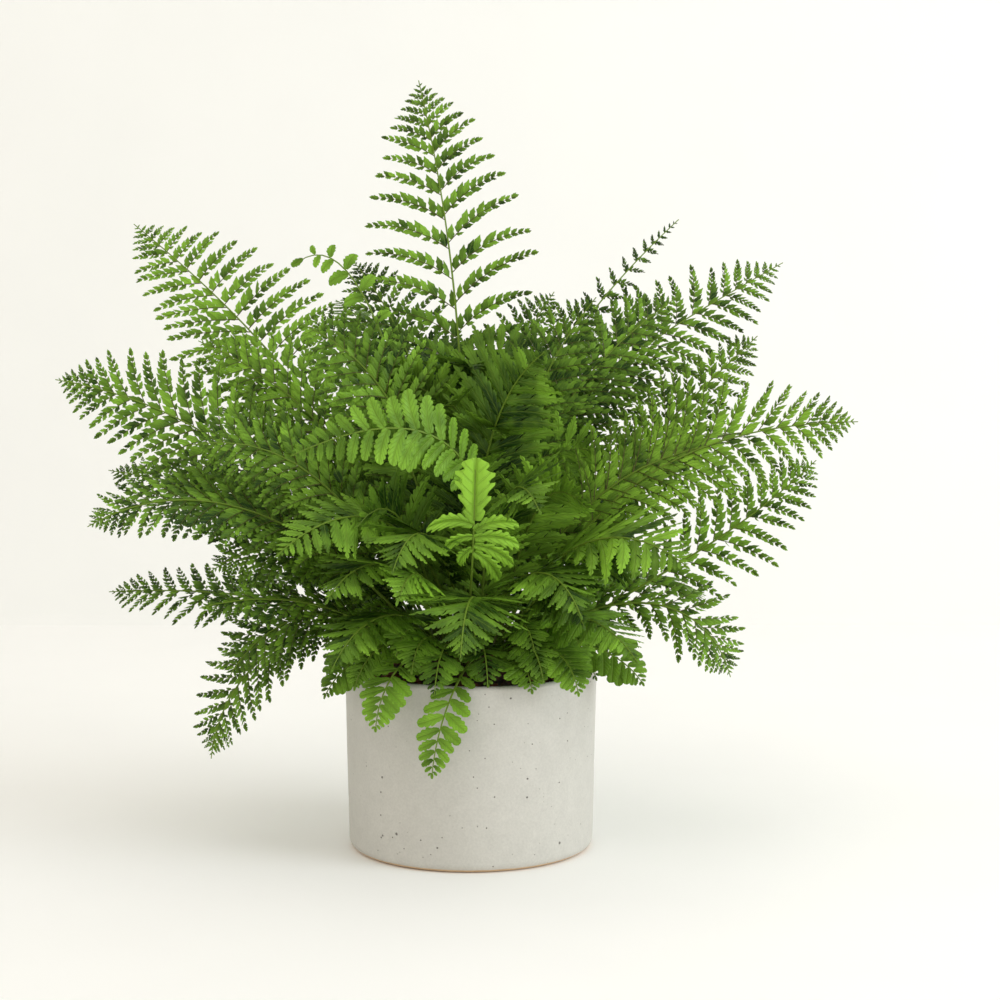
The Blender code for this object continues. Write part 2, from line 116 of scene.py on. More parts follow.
# A leaflet starts and ends at these angles from the rib. droop is a share of its length, fill is its half
# width as a share of its room along the rib, and corners are the places along it where its solid has corners.
Form = namedtuple("Form", "start end droop fill corners")
LACY = Form(46, 82, 0.03, 0.43, (0.45, 1.0, 0.62, 0.12))
BROAD = Form(58, 86, 0.05, 0.42, (0.62, 1.0, 0.78, 0.22))
YOUNG = Form(66, 104, 0.22, 0.40, (0.55, 1.0, 0.72, 0.26))

# How a leaflet is divided. Lobes have their pitch as a share of their length and their half width as one, and
# a feather is one leaf with deep teeth. A frond without a cut has whole leaflets.
Cut = namedtuple("Cut", "pitch half")
LOBED = Cut(0.50, 0.295)
NARROW = Cut(0.42, 0.24)
FEATHER = Cut(0, 0)

# The two rows of lobes on a lacy leaflet: 1 for the side of the frond's tip or -1 for the other, where the
# row starts along the leaflet, how wide it is spaced, how long its lobes are, and how many degrees they lean.
LOBE_ROWS = ((1, 0.05, 1.0, 1.0, 50), (-1, 0.13, 1.08, 0.80, 44))

# Lengths in millimetres and angles in degrees. ring and bearing place the stalk on the rhizome, tip is where
# the rib ends, rise and end are its pitch at its two ends, and face is where the blade's upper side looks, as
# an azimuth and an elevation. width is the longest leaflet, pairs counts them below the tip's, bare is the
# share of the rib that is stalk, and tone runs from 0, old and dark, to 1, young and bright. pitch is the way
# between pairs low on the dressed blade, or 0 for the solid's own pairs, and cut is how the leaflets are
# divided. bow is how far each end pulls on the arch, spread is the angle at which the dressed leaflets end,
# lean is how far the rib leaves to the left of its tip, share is how long the leaflets are beside the
# solid's, and skew is how much wider those on the rib's right stand.
FIELDS = "name form ring bearing tip rise end face width pairs bare tone pitch cut bow spread lean share skew"
Frond = namedtuple("Frond", FIELDS, defaults=(0, None, 0.38, 66, 0, 1, 0))
FRONDS = (
    Frond("top", LACY, 6, 100, (-33, 28, 486), 88, 74, (272, 8),
          62, 10, 0.36, 0.48, 20, LOBED, spread=80),
    Frond("upper_left", LACY, 16, 165, (-220, 60, 396), 67, 37, (262, 34),
          62, 9, 0.32, 0.74, 11.5, LOBED, skew=32),
    Frond("left", LACY, 22, 186, (-254, -40, 300), 48, 10, (255, 36),
          56, 9, 0.32, 0.53, 11.5, LOBED),
    Frond("left_behind", LACY, 23, 164, (-241, 70, 234), 50, 6, (255, 50),
          44, 7, 0.32, 0.38, 10, LOBED, 0.40),
    Frond("left_mid", LACY, 24, 205, (-227, -90, 215), 54, -28, (242, 44),
          48, 7, 0.28, 0.38, 10, LOBED),
    Frond("left_low", LACY, 31, 172, (-237, 40, 157), 30, -4, (258, 50),
          34, 7, 0.38, 0.42, 11, LOBED),
    Frond("left_short", LACY, 31, 206, (-161, -90, 166), 40, -10, (250, 50),
          32, 6, 0.36, 0.35, 9, LOBED),
    Frond("left_hanging", LACY, 31, 190, (-159, -60, 68), 56, -84, (240, 30),
          36, 7, 0.34, 0.45, 10, LOBED, 0.50, spread=62),
    Frond("upper_right", LACY, 18, 14, (202, 50, 371), 84, 28, (278, 34),
          56, 9, 0.32, 0.46, 12, NARROW, 0.50, spread=72),
    Frond("right_mid", LACY, 20, 348, (175, -50, 327), 68, 44, (274, 30),
          34, 7, 0.46, 0.5, 10, NARROW, spread=64),
    Frond("right", LACY, 23, 334, (230, -95, 278), 64, 2, (290, 34),
          52, 9, 0.28, 0.78, 12, NARROW, 0.42),
    Frond("right_low", LACY, 31, 2, (220, 10, 246), 34, 44, (278, 36),
          42, 8, 0.32, 0.62, 13, LOBED, 0.36),
    Frond("right_hanging", LACY, 31, 328, (158, -78, 122), 54, -74, (292, 34),
          36, 7, 0.34, 0.55, 12, LOBED, 0.46, spread=64),
    Frond("right_thin", LACY, 10, 45, (135, 60, 399), 86, 40, (300, 20),
          26, 6, 0.50, 0.12, 12, LOBED, 0.42, spread=62, share=0.6),
    Frond("right_up", LACY, 15, 330, (78, -24, 350), 82, 50, (275, 20),
          46, 7, 0.34, 0.37, 10, NARROW, spread=64),
    Frond("back_up", LACY, 13, 80, (54, 60, 352), 86, 45, (270, 15),
          42, 7, 0.38, 0.3, 11, LOBED),
    Frond("back_left_up", LACY, 13, 130, (-78, 72, 372), 82, 40, (275, 20),
          46, 7, 0.38, 0.35, 11, LOBED),
    Frond("middle_left", LACY, 14, 206, (-105, -42, 335), 80, 22, (262, 28),
          50, 7, 0.32, 0.56, 11, LOBED),
    Frond("middle_front", LACY, 6, 252, (45, -74, 318), 84, 25, (270, 30),
          50, 7, 0.30, 0.32, 10, FEATHER),
    Frond("centre_right", LACY, 13, 292, (42, -112, 226), 80, -38, (285, 30),
          42, 6, 0.34, 0.3, 9, FEATHER, 0.46),
    Frond("centre_left", LACY, 12, 252, (-44, -118, 192), 80, -48, (255, 30),
          42, 6, 0.34, 0.35, 9, FEATHER, 0.48),
    Frond("front_fan", LACY, 25, 296, (-4, -148, 146), 74, -64, (270, 40),
          50, 7, 0.30, 0.3, 8, FEATHER, 0.44),
    Frond("front_left_mid", LACY, 18, 224, (-84, -104, 172), 76, -46, (240, 40),
          38, 6, 0.34, 0.45, 9, FEATHER, 0.46),
    Frond("front_right_mid", LACY, 22, 284, (66, -122, 166), 76, -52, (290, 40),
          40, 6, 0.34, 0.35, 9, FEATHER, 0.46),
    Frond("front_right", LACY, 20, 314, (128, -124, 195), 68, -30, (288, 40),
          44, 7, 0.32, 0.6, 10, FEATHER, 0.42),
    Frond("back_right", LACY, 24, 35, (190, 130, 255), 60, 0, (215, 55),
          46, 6, 0.32, 0.4, 13, LOBED),
    Frond("back_right_high", LACY, 20, 58, (112, 150, 330), 70, 12, (242, 50),
          46, 6, 0.34, 0.4, 11, FEATHER),
    Frond("back", LACY, 24, 92, (15, 200, 285), 66, -5, (268, 55),
          46, 6, 0.32, 0.4, 13, LOBED),
    Frond("back_left_high", LACY, 19, 122, (-95, 150, 345), 72, 15, (293, 50),
          46, 6, 0.34, 0.4, 11, FEATHER),
    Frond("back_left", LACY, 24, 148, (-180, 132, 272), 60, 0, (325, 50),
          46, 6, 0.32, 0.4, 13, LOBED),
    Frond("back_right_low", LACY, 31, 42, (160, 148, 135), 46, -36, (225, 65),
          40, 6, 0.32, 0.4, 10, FEATHER),
    Frond("back_low", LACY, 31, 98, (-28, 205, 130), 46, -42, (278, 65),
          40, 6, 0.32, 0.4, 13, LOBED),
    Frond("back_left_low", LACY, 31, 146, (-168, 128, 142), 46, -32, (330, 65),
          40, 6, 0.32, 0.4, 13, NARROW),
    Frond("small_arch", BROAD, 12, 182, (-109, 4, 371), 84, -38, (265, 20),
          13, 6, 0.56, 0.62, bow=0.25, spread=86),
    Frond("front_arm", BROAD, 6, 305, (-105, -98, 258), 72, -25, (262, 20),
          25, 7, 0.42, 0.55, 12.5, bow=0.60, spread=80, lean=84),
    Frond("front_left", BROAD, 19, 243, (-113, -112, 200), 84, -34, (245, 35),
          30, 6, 0.40, 0.55, 9, FEATHER, 0.52),
    Frond("young", YOUNG, 28, 262, (4, -108, 251), 50, 84, (274, 20),
          30, 3, 0.64, 0.97, spread=86),
    Frond("front_left_low", LACY, 25, 232, (-80, -116, 134), 66, -50, (245, 45),
          36, 6, 0.34, 0.45, 9, FEATHER, 0.44),
    Frond("front_right_low", BROAD, 26, 320, (100, -106, 136), 62, -45, (300, 45),
          30, 6, 0.38, 0.5, 9, FEATHER, 0.42),
    Frond("rim_front", BROAD, 31, 284, (-22, -106, 66), 62, -84, (255, 25),
          16, 6, 0.50, 0.6, 8.5, bow=0.50, lean=34),
    Frond("rim_middle", BROAD, 31, 300, (38, -88, 114), 58, -68, (285, 40),
          18, 4, 0.42, 0.6, 9, bow=0.44),
    Frond("rim_left", BROAD, 31, 242, (-56, -95, 92), 60, -84, (255, 25),
          17, 4, 0.46, 0.6, 9, bow=0.48),
    Frond("rim_far_left", BROAD, 31, 221, (-90, -52, 104), 55, -64, (240, 40),
          18, 4, 0.44, 0.5, 9, bow=0.45),
    Frond("rim_right", BROAD, 31, 341, (108, -40, 110), 54, -56, (280, 40),
          19, 5, 0.42, 0.5, 9, bow=0.40),
    Frond("rim_front_right", BROAD, 31, 313, (66, -86, 112), 60, -75, (285, 30),
          17, 4, 0.44, 0.55, 9, bow=0.46),
    Frond("rim_back_right", BROAD, 31, 64, (52, 98, 88), 60, -85, (70, 30),
          19, 3, 0.44, 0.4, 9, bow=0.50),
    Frond("rim_back_left", BROAD, 31, 118, (-44, 102, 94), 60, -80, (105, 30),
          19, 3, 0.44, 0.4, 9, bow=0.50),
)

# Fronds at the sides, and a low one behind, that have no solids of their own
SIDE_FRONDS = (
    Frond("side_1", LACY, 15, 176, (-172, 6, 322), 66, 22, (258, 32),
          52, 8, 0.28, 0.72, 11, LOBED, spread=64),
    Frond("side_2", LACY, 20, 204, (-168, -66, 262), 60, -8, (250, 36),
          46, 7, 0.28, 0.5, 10, LOBED, spread=64),
    Frond("side_3", LACY, 18, 340, (150, -62, 262), 70, 10, (284, 32),
          46, 7, 0.28, 0.6, 11, LOBED, spread=64),
    Frond("side_4", LACY, 26, 200, (-158, -60, 184), 58, -34, (248, 38),
          44, 7, 0.28, 0.45, 10, LOBED, 0.42, spread=64),
    Frond("side_5", LACY, 29, 196, (-148, -66, 118), 52, -58, (246, 34),
          40, 7, 0.26, 0.42, 9.5, LOBED, 0.46, spread=64),
    Frond("side_6", LACY, 22, 180, (-196, -14, 232), 56, -4, (254, 40),
          48, 7, 0.34, 0.4, 11, LOBED, 0.40),
    Frond("low_back", LACY, 20, 95, (-4, 108, 126), 34, -16, (268, 34),
          50, 7, 0.26, 0.15, 8, FEATHER, 0.44, spread=72),
    Frond("side_7", LACY, 14, 10, (132, 20, 350), 82, 34, (280, 30),
          46, 7, 0.34, 0.45, 11, LOBED, 0.42),
)

# The newest leaf's leaflets: millimetres below its tip, hand, the angles from the rib at which each starts
# and ends, length and half width. YOUNG_TIP is the length and half width of the one at its end, and
# NEWEST_BEARING is the side on which the leaf stands. The heart's fronds follow each other by GOLDEN_ANGLE.
YOUNG_LEAFLETS = (
    (34, -1, 62, 120, 31, 7.0),
    (38, 1, 50, 100, 29, 6.5),
    (42, -1, 88, 150, 25, 5.5),
    (43, 1, 75, 118, 29, 6.0),
    (48, 1, 98, 138, 29, 5.5),
    (50, -1, 120, 170, 15, 5.0),
    (53, 1, 120, 160, 27, 5.0),
)
YOUNG_DROOP = 0.06
YOUNG_TIP = (38, 12.5)
NEWEST_BEARING = 268
GOLDEN_ANGLE = 137.5

# The pot's specks: cells to the metre, the share of them with a speck, and its least and greatest radius
SPECKS = ((110, 0.16, 0.06, 0.13), (200, 0.14, 0.08, 0.16), (420, 0.06, 0.10, 0.22))

# The square soft lights: name, place, size and colour. They aim at the fern's middle.
LIGHTS = (
    ("key", (1.9, -0.9, 0.95), 1.3, (0.84, 0.93, 1.0)),
    ("fill", (-0.5, -1.2, 2.0), 1.0, (1.0, 0.99, 0.96)),
)
FERN_MIDDLE = (0, 0, 0.25)
SKY_COLOUR = (1.0, 0.962, 0.88, 1)

# The camera, which is tilted by these degrees up from straight down. LENS and SENSOR are in millimetres.
CAMERA_PLACE = (0.0186, -1.46, 0.375)
CAMERA_TILT = 84
LENS = 83.4
SENSOR = 36.0

# The stage's floor and wall reach this far, and the wall stands behind the fern on a small round bend.
STAGE_REACH = 4.0
WALL_Y = 0.88
WALL_BEND = 0.01


def colour_setting(name, description, *default):
    """A colour, in linear light."""
    default = (*default, 1)
    return FloatVectorProperty(name=name, description=description, default=default, size=4, subtype="COLOR")


def length_setting(name, description, default):
    return FloatProperty(name=name, description=description, default=default, unit="LENGTH", precision=5)


def count_setting(name, description, default, least=0):
    return IntProperty(name=name, description=description, default=default, min=least)


def light_setting(name, description, default):
    """How strong a light is."""
    return FloatProperty(name=name, description=description, default=default, min=0)


class PotSettings(PropertyGroup):
    """The stoneware pot."""

    sides: count_setting("Sides", "Flat faces round the pot", 144, least=24)
    rim_wave: length_setting("Rim wave", "How far the thrown rim rises and falls", 0.4 * MM)
    clay: colour_setting("Clay", "Body colour", 0.55, 0.535, 0.49)
    foot: colour_setting("Foot", "Bare clay at the foot", 0.60, 0.42, 0.25)
    speck: colour_setting("Specks", "Iron specks", 0.07, 0.06, 0.05)


class MixSettings(PropertyGroup):
    """The potting mix and the rhizome in it."""

    chips: count_setting("Chips", "Bark chips on the mix", 200)
    crumbs: count_setting("Crumbs", "Small crumbs on the mix", 500)
    chip_size: length_setting("Chip size", "Middle length of a chip", 6.5 * MM)
    scales: count_setting("Scales", "Dry scales on the rhizome", 360)
    peat: colour_setting("Peat", "Colour of the mix", 0.030, 0.019, 0.012)
    bark: colour_setting("Bark", "Colour of the chips", 0.24, 0.065, 0.032)


class FoliageSettings(PropertyGroup):
    """The fronds' fine division and their greens."""

    lobe_length: length_setting("Lobe length", "Longest lobe", 10.5 * MM)
    hearts: count_setting("Heart fronds", "Short fronds in the plant's heart", 33)
    collar: count_setting("Collar fronds", "Little fronds round the rim", 32)
    thickness: length_setting("Thickness", "Thickness of a blade", 0.32 * MM)
    old_green: colour_setting("Old green", "Dark blades", 0.010, 0.040, 0.001)
    young_green: colour_setting("Young green", "Bright blades", 0.26, 0.505, 0.040)
    stalk_green: colour_setting("Stalk green", "Ribs", 0.135, 0.22, 0.022)
    stalk_brown: colour_setting("Stalk brown", "Stalk feet and midribs", 0.055, 0.035, 0.015)


class StageSettings(PropertyGroup):
    """The studio."""

    paper: colour_setting("Paper", "Floor and wall", 0.96, 0.955, 0.945)
    wall: colour_setting("Wall", "Tint of the wall beside the floor", 0.935, 0.935, 0.925)
    key_watts: light_setting("Key", "Power of the key light", 22)
    fill_watts: light_setting("Fill", "Power of the fill light", 2.2)
    sky: light_setting("Sky", "Strength of the even light", 0.93)


SETTINGS = {
    "fern_pot": PotSettings,
    "fern_mix": MixSettings,
    "fern_foliage": FoliageSettings,
    "fern_stage": StageSettings,
}


def unit(vectors):
    return vectors / np.linalg.norm(vectors, axis=-1, keepdims=True)


def compass(azimuth, elevation):
    """The unit vector at an azimuth, anticlockwise from +X, and an elevation, both in degrees."""
    a, e = math.radians(azimuth), math.radians(elevation)
    return np.array([math.cos(a) * math.cos(e), math.sin(a) * math.cos(e), math.sin(e)])


def row_dots(a, b):
    """The products of matching vectors, kept as a last axis of one."""
    return (a * b).sum(axis=-1, keepdims=True)


class Shape:
    """Points, faces and values by point, gathered patch by patch for one mesh."""

    def __init__(self):
        self.points, self.quads, self.triangles, self.values, self.count = [], [], [], [], 0

    def add(self, points, quads, values, triangles=None):
        """points is (n, 3), the faces count from this patch's first point, and values has a row for each name
        in VALUES, each a number or n of them."""
        self.quads.append(quads + self.count)
        if triangles is not None:
            self.triangles.append(triangles + self.count)
        self.points.append(points)
        self.values.append(np.stack([np.broadcast_to(v, len(points)) for v in values]))
        self.count += len(points)


# What each point of a mesh knows: its place along and across its leaf, how bright it is, whether it is stalk
# and how brown that stalk is.
VALUES = ("along", "across", "tone", "stalk", "brown")


def make_object(name, shape, finish, sharp=50):
    """A smooth-shaded object whose edges sharper than this angle stay sharp. It rides on the only body."""
    points = np.concatenate(shape.points)
    quads = np.concatenate(shape.quads)
    triangles = np.concatenate(shape.triangles) if shape.triangles else np.zeros((0, 3), int)
    mesh = bpy.data.meshes.new(name)
    mesh.vertices.add(len(points))
    mesh.vertices.foreach_set("co", points.ravel().astype(np.float32))
    corners = np.concatenate([quads.ravel(), triangles.ravel()])
    mesh.loops.add(len(corners))
    mesh.loops.foreach_set("vertex_index", corners.astype(np.int32))
    starts = np.concatenate([4 * np.arange(len(quads)), 4 * len(quads) + 3 * np.arange(len(triangles))])
    mesh.polygons.add(len(starts))
    mesh.polygons.foreach_set("loop_start", starts.astype(np.int32))
    mesh.update(calc_edges=True)
    mesh.polygons.foreach_set("use_smooth", np.ones(len(starts), bool))
    for value, numbers in zip(VALUES, np.concatenate(shape.values, axis=1)):
        layer = mesh.attributes.new(value, "FLOAT", "POINT")
        layer.data.foreach_set("value", numbers.astype(np.float32))
    mesh.set_sharp_from_angle(angle=math.radians(sharp))
    mesh.materials.append(finish)
    obj = bpy.data.objects.new(name, mesh)
    bpy.context.scene.collection.objects.link(obj)
    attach(obj, "root")
    return obj


def heading(frond):
    """The azimuth from the stalk's foot to the frond's tip."""
    foot = frond.ring * compass(frond.bearing, 0)
    return math.degrees(math.atan2(frond.tip[1] - foot[1], frond.tip[0] - foot[0]))


def rhizome_height(radius):
    """The rhizome's top is a low dome: a shoulder and a half ellipse."""
    return RHIZOME_SHOULDER_Z + RHIZOME_RISE * np.sqrt(np.maximum(0.0, 1 - (radius / RHIZOME_RADIUS) ** 2))


def rib_controls(frond):
    """The four points of the cubic curve that a rib follows, from inside the rhizome to the frond's tip."""
    ring, tip = frond.ring * MM, np.array(frond.tip) * MM
    surface = ring * compass(frond.bearing, 0) + rhizome_height(ring) * UP
    leaving = compass(heading(frond) + frond.lean, frond.rise)
    arriving = compass(heading(frond) - frond.lean / 2, frond.end)
    foot = surface - ROOT_DEPTH * leaving
    pull = frond.bow * np.linalg.norm(tip - foot)
    return np.array([foot, foot + pull * leaving, tip - pull * arriving, tip])


def rib_points(frond, t):
    """Points of the cubic curve: its four controls, weighted by (1-t)^3, 3t(1-t)^2, 3t^2(1-t) and t^3."""
    weights = np.stack([(1 - t) ** 3, 3 * t * (1 - t) ** 2, 3 * t**2 * (1 - t), t**3], axis=1)
    return weights @ rib_controls(frond)


def arch_frames(frond, t):
    """The rib's direction, the level direction across its arch and the arch's upper side, at t."""
    steps = np.diff(rib_controls(frond), axis=0)
    weights = np.stack([(1 - t) ** 2, 2 * t * (1 - t), t**2], axis=1)
    tangent = unit(weights @ steps)
    level = np.cross(compass(heading(frond), 0), UP)
    level = unit(level - (tangent @ level)[:, None] * tangent)
    return tangent, level, np.cross(level, tangent)


def rib_frames(frond, t):
    """The rib's direction, the direction across the blade, and the blade's normal, at t. The blade is twisted
    from the arch's upper side by one angle all along, which turns its face to where the frond looks."""
    _, level, upper = arch_frames(frond, np.array([FACE_PLACE]))
    face = compass(*frond.face)
    twist = math.atan2(level[0] @ face, upper[0] @ face)
    tangent, level, upper = arch_frames(frond, t)
    normal = math.cos(twist) * upper + math.sin(twist) * level
    return tangent, np.cross(tangent, normal), normal


def rib_length(frond):
    points = rib_points(frond, np.linspace(0, 1, 60))
    return np.linalg.norm(np.diff(points, axis=0), axis=1).sum()


def pair_places(frond):
    """Where along the rib each pair of leaflets sits. The pairs crowd together towards the tip."""
    left = 1 - np.arange(frond.pairs) / (frond.pairs + 1)
    return 1 - (1 - frond.bare) * left**CROWDING


def leaflet_length(frond, place):
    """Full length from the blade's middle down, a little less at its foot, and short towards the tip."""
    from_tip = (1 - place) / (1 - frond.bare)
    taper = min(from_tip / 0.5, 1) ** 0.62
    foot = 1 - 0.25 * max(0.0, (from_tip - 0.6) / 0.4)
    return frond.width * MM * taper * foot


class Leaflet:
    """One leaflet's midrib: it leaves its root at start degrees from the rib and turns to end, as root +
    length (s first + s^2 / 2 (last - first) - droop s^2 up), with s from 0 at the root to 1 at its end.
    swing turns it out of the blade's plane, and hand is 1 on the rib's right and -1 on its left."""

    def __init__(self, frond, place, hand, length, room, swing, droop, start, end, half_width=None):
        self.root = rib_points(frond, np.array([place]))[0]
        tangent, side, normal = (axis[0] for axis in rib_frames(frond, np.array([place])))
        turn = math.radians(swing)
        self.tangent = tangent
        self.outward = math.cos(turn) * hand * side + math.sin(turn) * normal
        self.normal = hand * np.cross(self.outward, tangent)
        angles = np.radians([start, end])
        self.first, self.last = (math.cos(a) * tangent + math.sin(a) * self.outward for a in angles)
        self.length = length
        self.room = room
        self.droop = droop
        self.half_width = half_width or min(frond.form.fill * room, WIDEST * length)

    def points(self, s):
        s = s[:, None]
        bend = s * self.first + s**2 / 2 * (self.last - self.first) - self.droop * s**2 * UP
        return self.root + self.length * bend

    def frames(self, s):
        """The midrib's direction, the blade's normal and the direction towards the frond's tip, at s."""
        s = s[:, None]
        along = unit(self.first + s * (self.last - self.first) - 2 * self.droop * s * UP)
        normal = unit(self.normal - row_dots(self.normal, along) * along)
        tipward = np.cross(normal, along)
        return along, normal, tipward * np.sign(row_dots(tipward, self.tangent))

    def clear_points(self, s):
        """Points of the midrib at s, moved outwards where they would be too near the frond's rib."""
        points = self.points(s) - self.root
        short = np.maximum(0.0, RIB_MARGIN - points @ self.outward)
        return self.root + points + short[:, None] * self.outward


def settled_swing(frond, place, hand, solid):
    """The swing that a leaflet's solid settled on: the first of those that it may take, at the first of its
    lengths, at which its midrib lies on the solid."""
    form = frond.form
    for share in SHARES:
        for swing in SWINGS:
            length = share * leaflet_length(frond, place)
            leaflet = Leaflet(frond, place, hand, length, 0, swing, form.droop, form.start, form.end)
            points = leaflet.clear_points(np.array(form.corners))
            if max(solid.find_nearest(Vector(p))[3] for p in points) < ON_SOLID:
                return swing
    return 0


Leaf = namedtuple("Leaf", "along across height lower quads triangles")


def leaf_form(rows, columns, widest, foot, end, lobes, depth, lean, fold, camber=0.0):
    """A leaf as a grid of points with an upper and a lower skin that share its border. The lower skin of a
    leaf of three columns is flat from edge to edge, so its fold must be a ridge, which is a negative one.

    along runs from 0 to 1, and across from -1 to 1 times the half width there, which rises as a sine from
    foot up to the widest place and falls as a cosine to end after it. Each side is cut into lobes: the half
    width shrinks by depth times a power of the cosine that peaks between them. A point moves forward by lean
    times the square of its place across, so the lobes point to the tip. height lifts the edges by fold, and
    the ground between the midrib and the edge by camber."""
    step = np.linspace(0, 1, rows)[:, None]
    wide = np.linspace(-1, 1, columns)[None, :]
    rise = foot + (1 - foot) * np.sin(np.pi / 2 * np.clip(step / widest, 0, 1))
    fall = end + (1 - end) * np.cos(np.pi / 2 * np.clip((step - widest) / (1 - widest), 0, 1)) ** 0.7
    half = np.where(step < widest, rise, fall)
    notch = np.abs(np.cos(np.pi * lobes * step)) ** 3 * (step > 0.1)
    half = half * (1 - depth * notch * np.abs(wide) ** 3)
    along = (step + lean * (wide * half) ** 2 * np.sin(np.pi * np.clip(step + 0.12, 0, 0.8))).ravel()
    across = (wide * half).ravel()
    height = (fold * np.abs(wide * half) + camber * np.sin(np.pi * np.abs(wide)) * half).ravel()
    upper = np.arange(rows * columns).reshape(rows, columns)
    if columns == 3:
        return flat_below(upper, along, across, height)
    lower = upper.copy()
    inner = upper[1:-1, 1:-1]
    lower[1:-1, 1:-1] = rows * columns + np.arange(inner.size).reshape(inner.shape)
    quads = np.concatenate([corner_loops(upper), corner_loops(lower)[:, ::-1]])
    twice = np.concatenate([np.arange(rows * columns), inner.ravel()])
    under = np.concatenate([np.zeros(rows * columns), np.ones(inner.size)])
    return Leaf(along[twice], across[twice], height[twice], under, quads, np.zeros((0, 3), int))


def flat_below(upper, along, across, height):
    """A leaf of three columns of points, closed below by a flat skin from edge to edge."""
    quads = np.concatenate([corner_loops(upper), corner_loops(upper[:, ::2])[:, ::-1]])
    return Leaf(along, across, height, np.zeros(upper.size), quads, np.array([upper[0], upper[-1, ::-1]]))


def toothed_form(outline, fold):
    """A leaf of three columns whose edge goes through the outline's corners, along and across."""
    step, half = np.array(outline).T
    across = np.outer(half, (-1, 0, 1)).ravel()
    upper = np.arange(across.size).reshape(-1, 3)
    return flat_below(upper, np.repeat(step, 3), across, fold * np.abs(across))


def corner_loops(grid):
    """The quads between neighbouring points of a grid of indices, facing the side from which its rows run
    away and its columns run to the left."""
    return np.stack([grid[:-1, :-1], grid[1:, :-1], grid[1:, 1:], grid[:-1, 1:]], axis=-1).reshape(-1, 4)


LOBE = toothed_form(((0, 0.26), (0.34, 1.0), (0.48, 0.66), (0.68, 0.74), (0.80, 0.38), (1, 0.04)), -0.42)
SCALE = leaf_form(5, 3, 0.35, 0.5, 0.05, 1, 0.0, 0.0, -0.25)
FEATHER_LEAF = leaf_form(22, 3, 0.30, 0.66, 0.06, 7, 0.66, 0.24, -0.40)
SMALL_LEAF = leaf_form(13, 3, 0.46, 0.34, 0.30, 4, 0.34, 0.12, -0.22)
BROAD_LEAF = leaf_form(19, 7, 0.50, 0.46, 0.34, 6, 0.26, 0.08, 0.14, 0.10)
RIM_LEAF = leaf_form(13, 7, 0.46, 0.26, 0.34, 4, 0.24, 0.10, 0.14, 0.10)
YOUNG_LEAF = leaf_form(22, 7, 0.62, 0.34, 0.22, 5, 0.40, 0.16, 0.16, 0.16)


def add_leaves(shape, leaf, place, along, normal, length, half_width, sweep, curl, thickness, tone):
    """Many leaves of one form. A point lies at place + length (u along + u^2 sweep - u^2 curl normal)
    + half width (v side + h normal), where u, v and h are the form's along, across and height. The lower skin
    lies the thickness below. Every argument after leaf has a row or a number for each leaf."""
    normal = unit(normal - row_dots(normal, along) * along)
    side = np.cross(normal, along)
    u, v, h = (part[None, :, None] for part in (leaf.along, leaf.across, leaf.height))
    sizes = length, half_width, curl
    length, half_width, curl = (np.broadcast_to(x, len(place))[:, None, None] for x in sizes)
    place, along, normal, side, sweep = (x[:, None, :] for x in (place, along, normal, side, sweep))
    reach = length * (u * along + u**2 * sweep)
    lift = half_width * h - length * u**2 * curl - thickness * leaf.lower[None, :, None]
    points = place + reach + half_width * v * side + lift * normal
    count, size = points.shape[:2]
    shift = size * np.arange(count)[:, None, None]
    faces = leaf.quads, leaf.triangles
    quads, triangles = ((each[None] + shift).reshape(-1, each.shape[1]) for each in faces)
    tones = np.repeat(np.broadcast_to(tone, count), size)
    values = (np.tile(leaf.along, count), np.tile(leaf.across, count), tones, 0.0, 0.0)
    shape.add(points.reshape(-1, 3), quads, values, triangles)


def add_wrapped(shape, skins, first, last, values):
    """Closed skins. Each is a grid of rings that run round, with one more point at each end. skins is
    (pieces, rings, sides, 3), first and last are (pieces, 3), and values has, for each name in VALUES, a
    number or (pieces, rings) of them."""
    pieces, rings, sides = skins.shape[:3]
    points = np.concatenate([skins.reshape(pieces, -1, 3), first[:, None], last[:, None]], axis=1)
    ring = np.arange(rings * sides).reshape(rings, sides)
    ring = np.concatenate([ring, ring[:, :1]], axis=1)
    start, end = np.full(sides, rings * sides), np.full(sides, rings * sides + 1)
    ends = [np.stack([start, ring[0, :-1], ring[0, 1:]], axis=1)]
    ends.append(np.stack([end, ring[-1, 1:], ring[-1, :-1]], axis=1))
    shift = (rings * sides + 2) * np.arange(pieces)[:, None, None]
    quads = (corner_loops(ring)[None] + shift).reshape(-1, 4)
    triangles = (np.concatenate(ends)[None] + shift).reshape(-1, 3)
    spread = []
    for value in values:
        rows = np.broadcast_to(value, (pieces, rings))
        parts = [np.repeat(rows, sides, axis=1), rows[:, :1], rows[:, -1:]]
        spread.append(np.concatenate(parts, axis=1).ravel())
    shape.add(points.reshape(-1, 3), quads, spread, triangles)


def add_stems(shape, path, side, normal, radius, sides, tone, brown, groove=0.0):
    """Stems along many paths at once. A point lies at the path + radius (cos a side + sin a normal), drawn in
    by groove on the upper side. path, side and normal are (stems, rings, 3), and radius, tone and brown are
    (stems, rings)."""
    turn = 2 * np.pi * np.arange(sides) / sides
    reach = radius[:, :, None, None] * (1 - groove * np.exp(-8 * (1 - np.sin(turn))))[None, None, :, None]
    wall = np.cos(turn)[:, None] * side[:, :, None, :] + np.sin(turn)[:, None] * normal[:, :, None, :]
    skins = path[:, :, None, :] + reach * wall
    step = np.linspace(0, 1, path.shape[1])
    add_wrapped(shape, skins, path[:, 0], path[:, -1], (step, 0.0, tone, 1.0, brown))


def arc(centre, radius, first, last, steps):
    """Points (radius, height) on a round stretch of a profile, from one angle to another in degrees."""
    angles = np.radians(np.linspace(first, last, steps))
    return np.array(centre) + radius * np.stack([np.cos(angles), np.sin(angles)], axis=1)


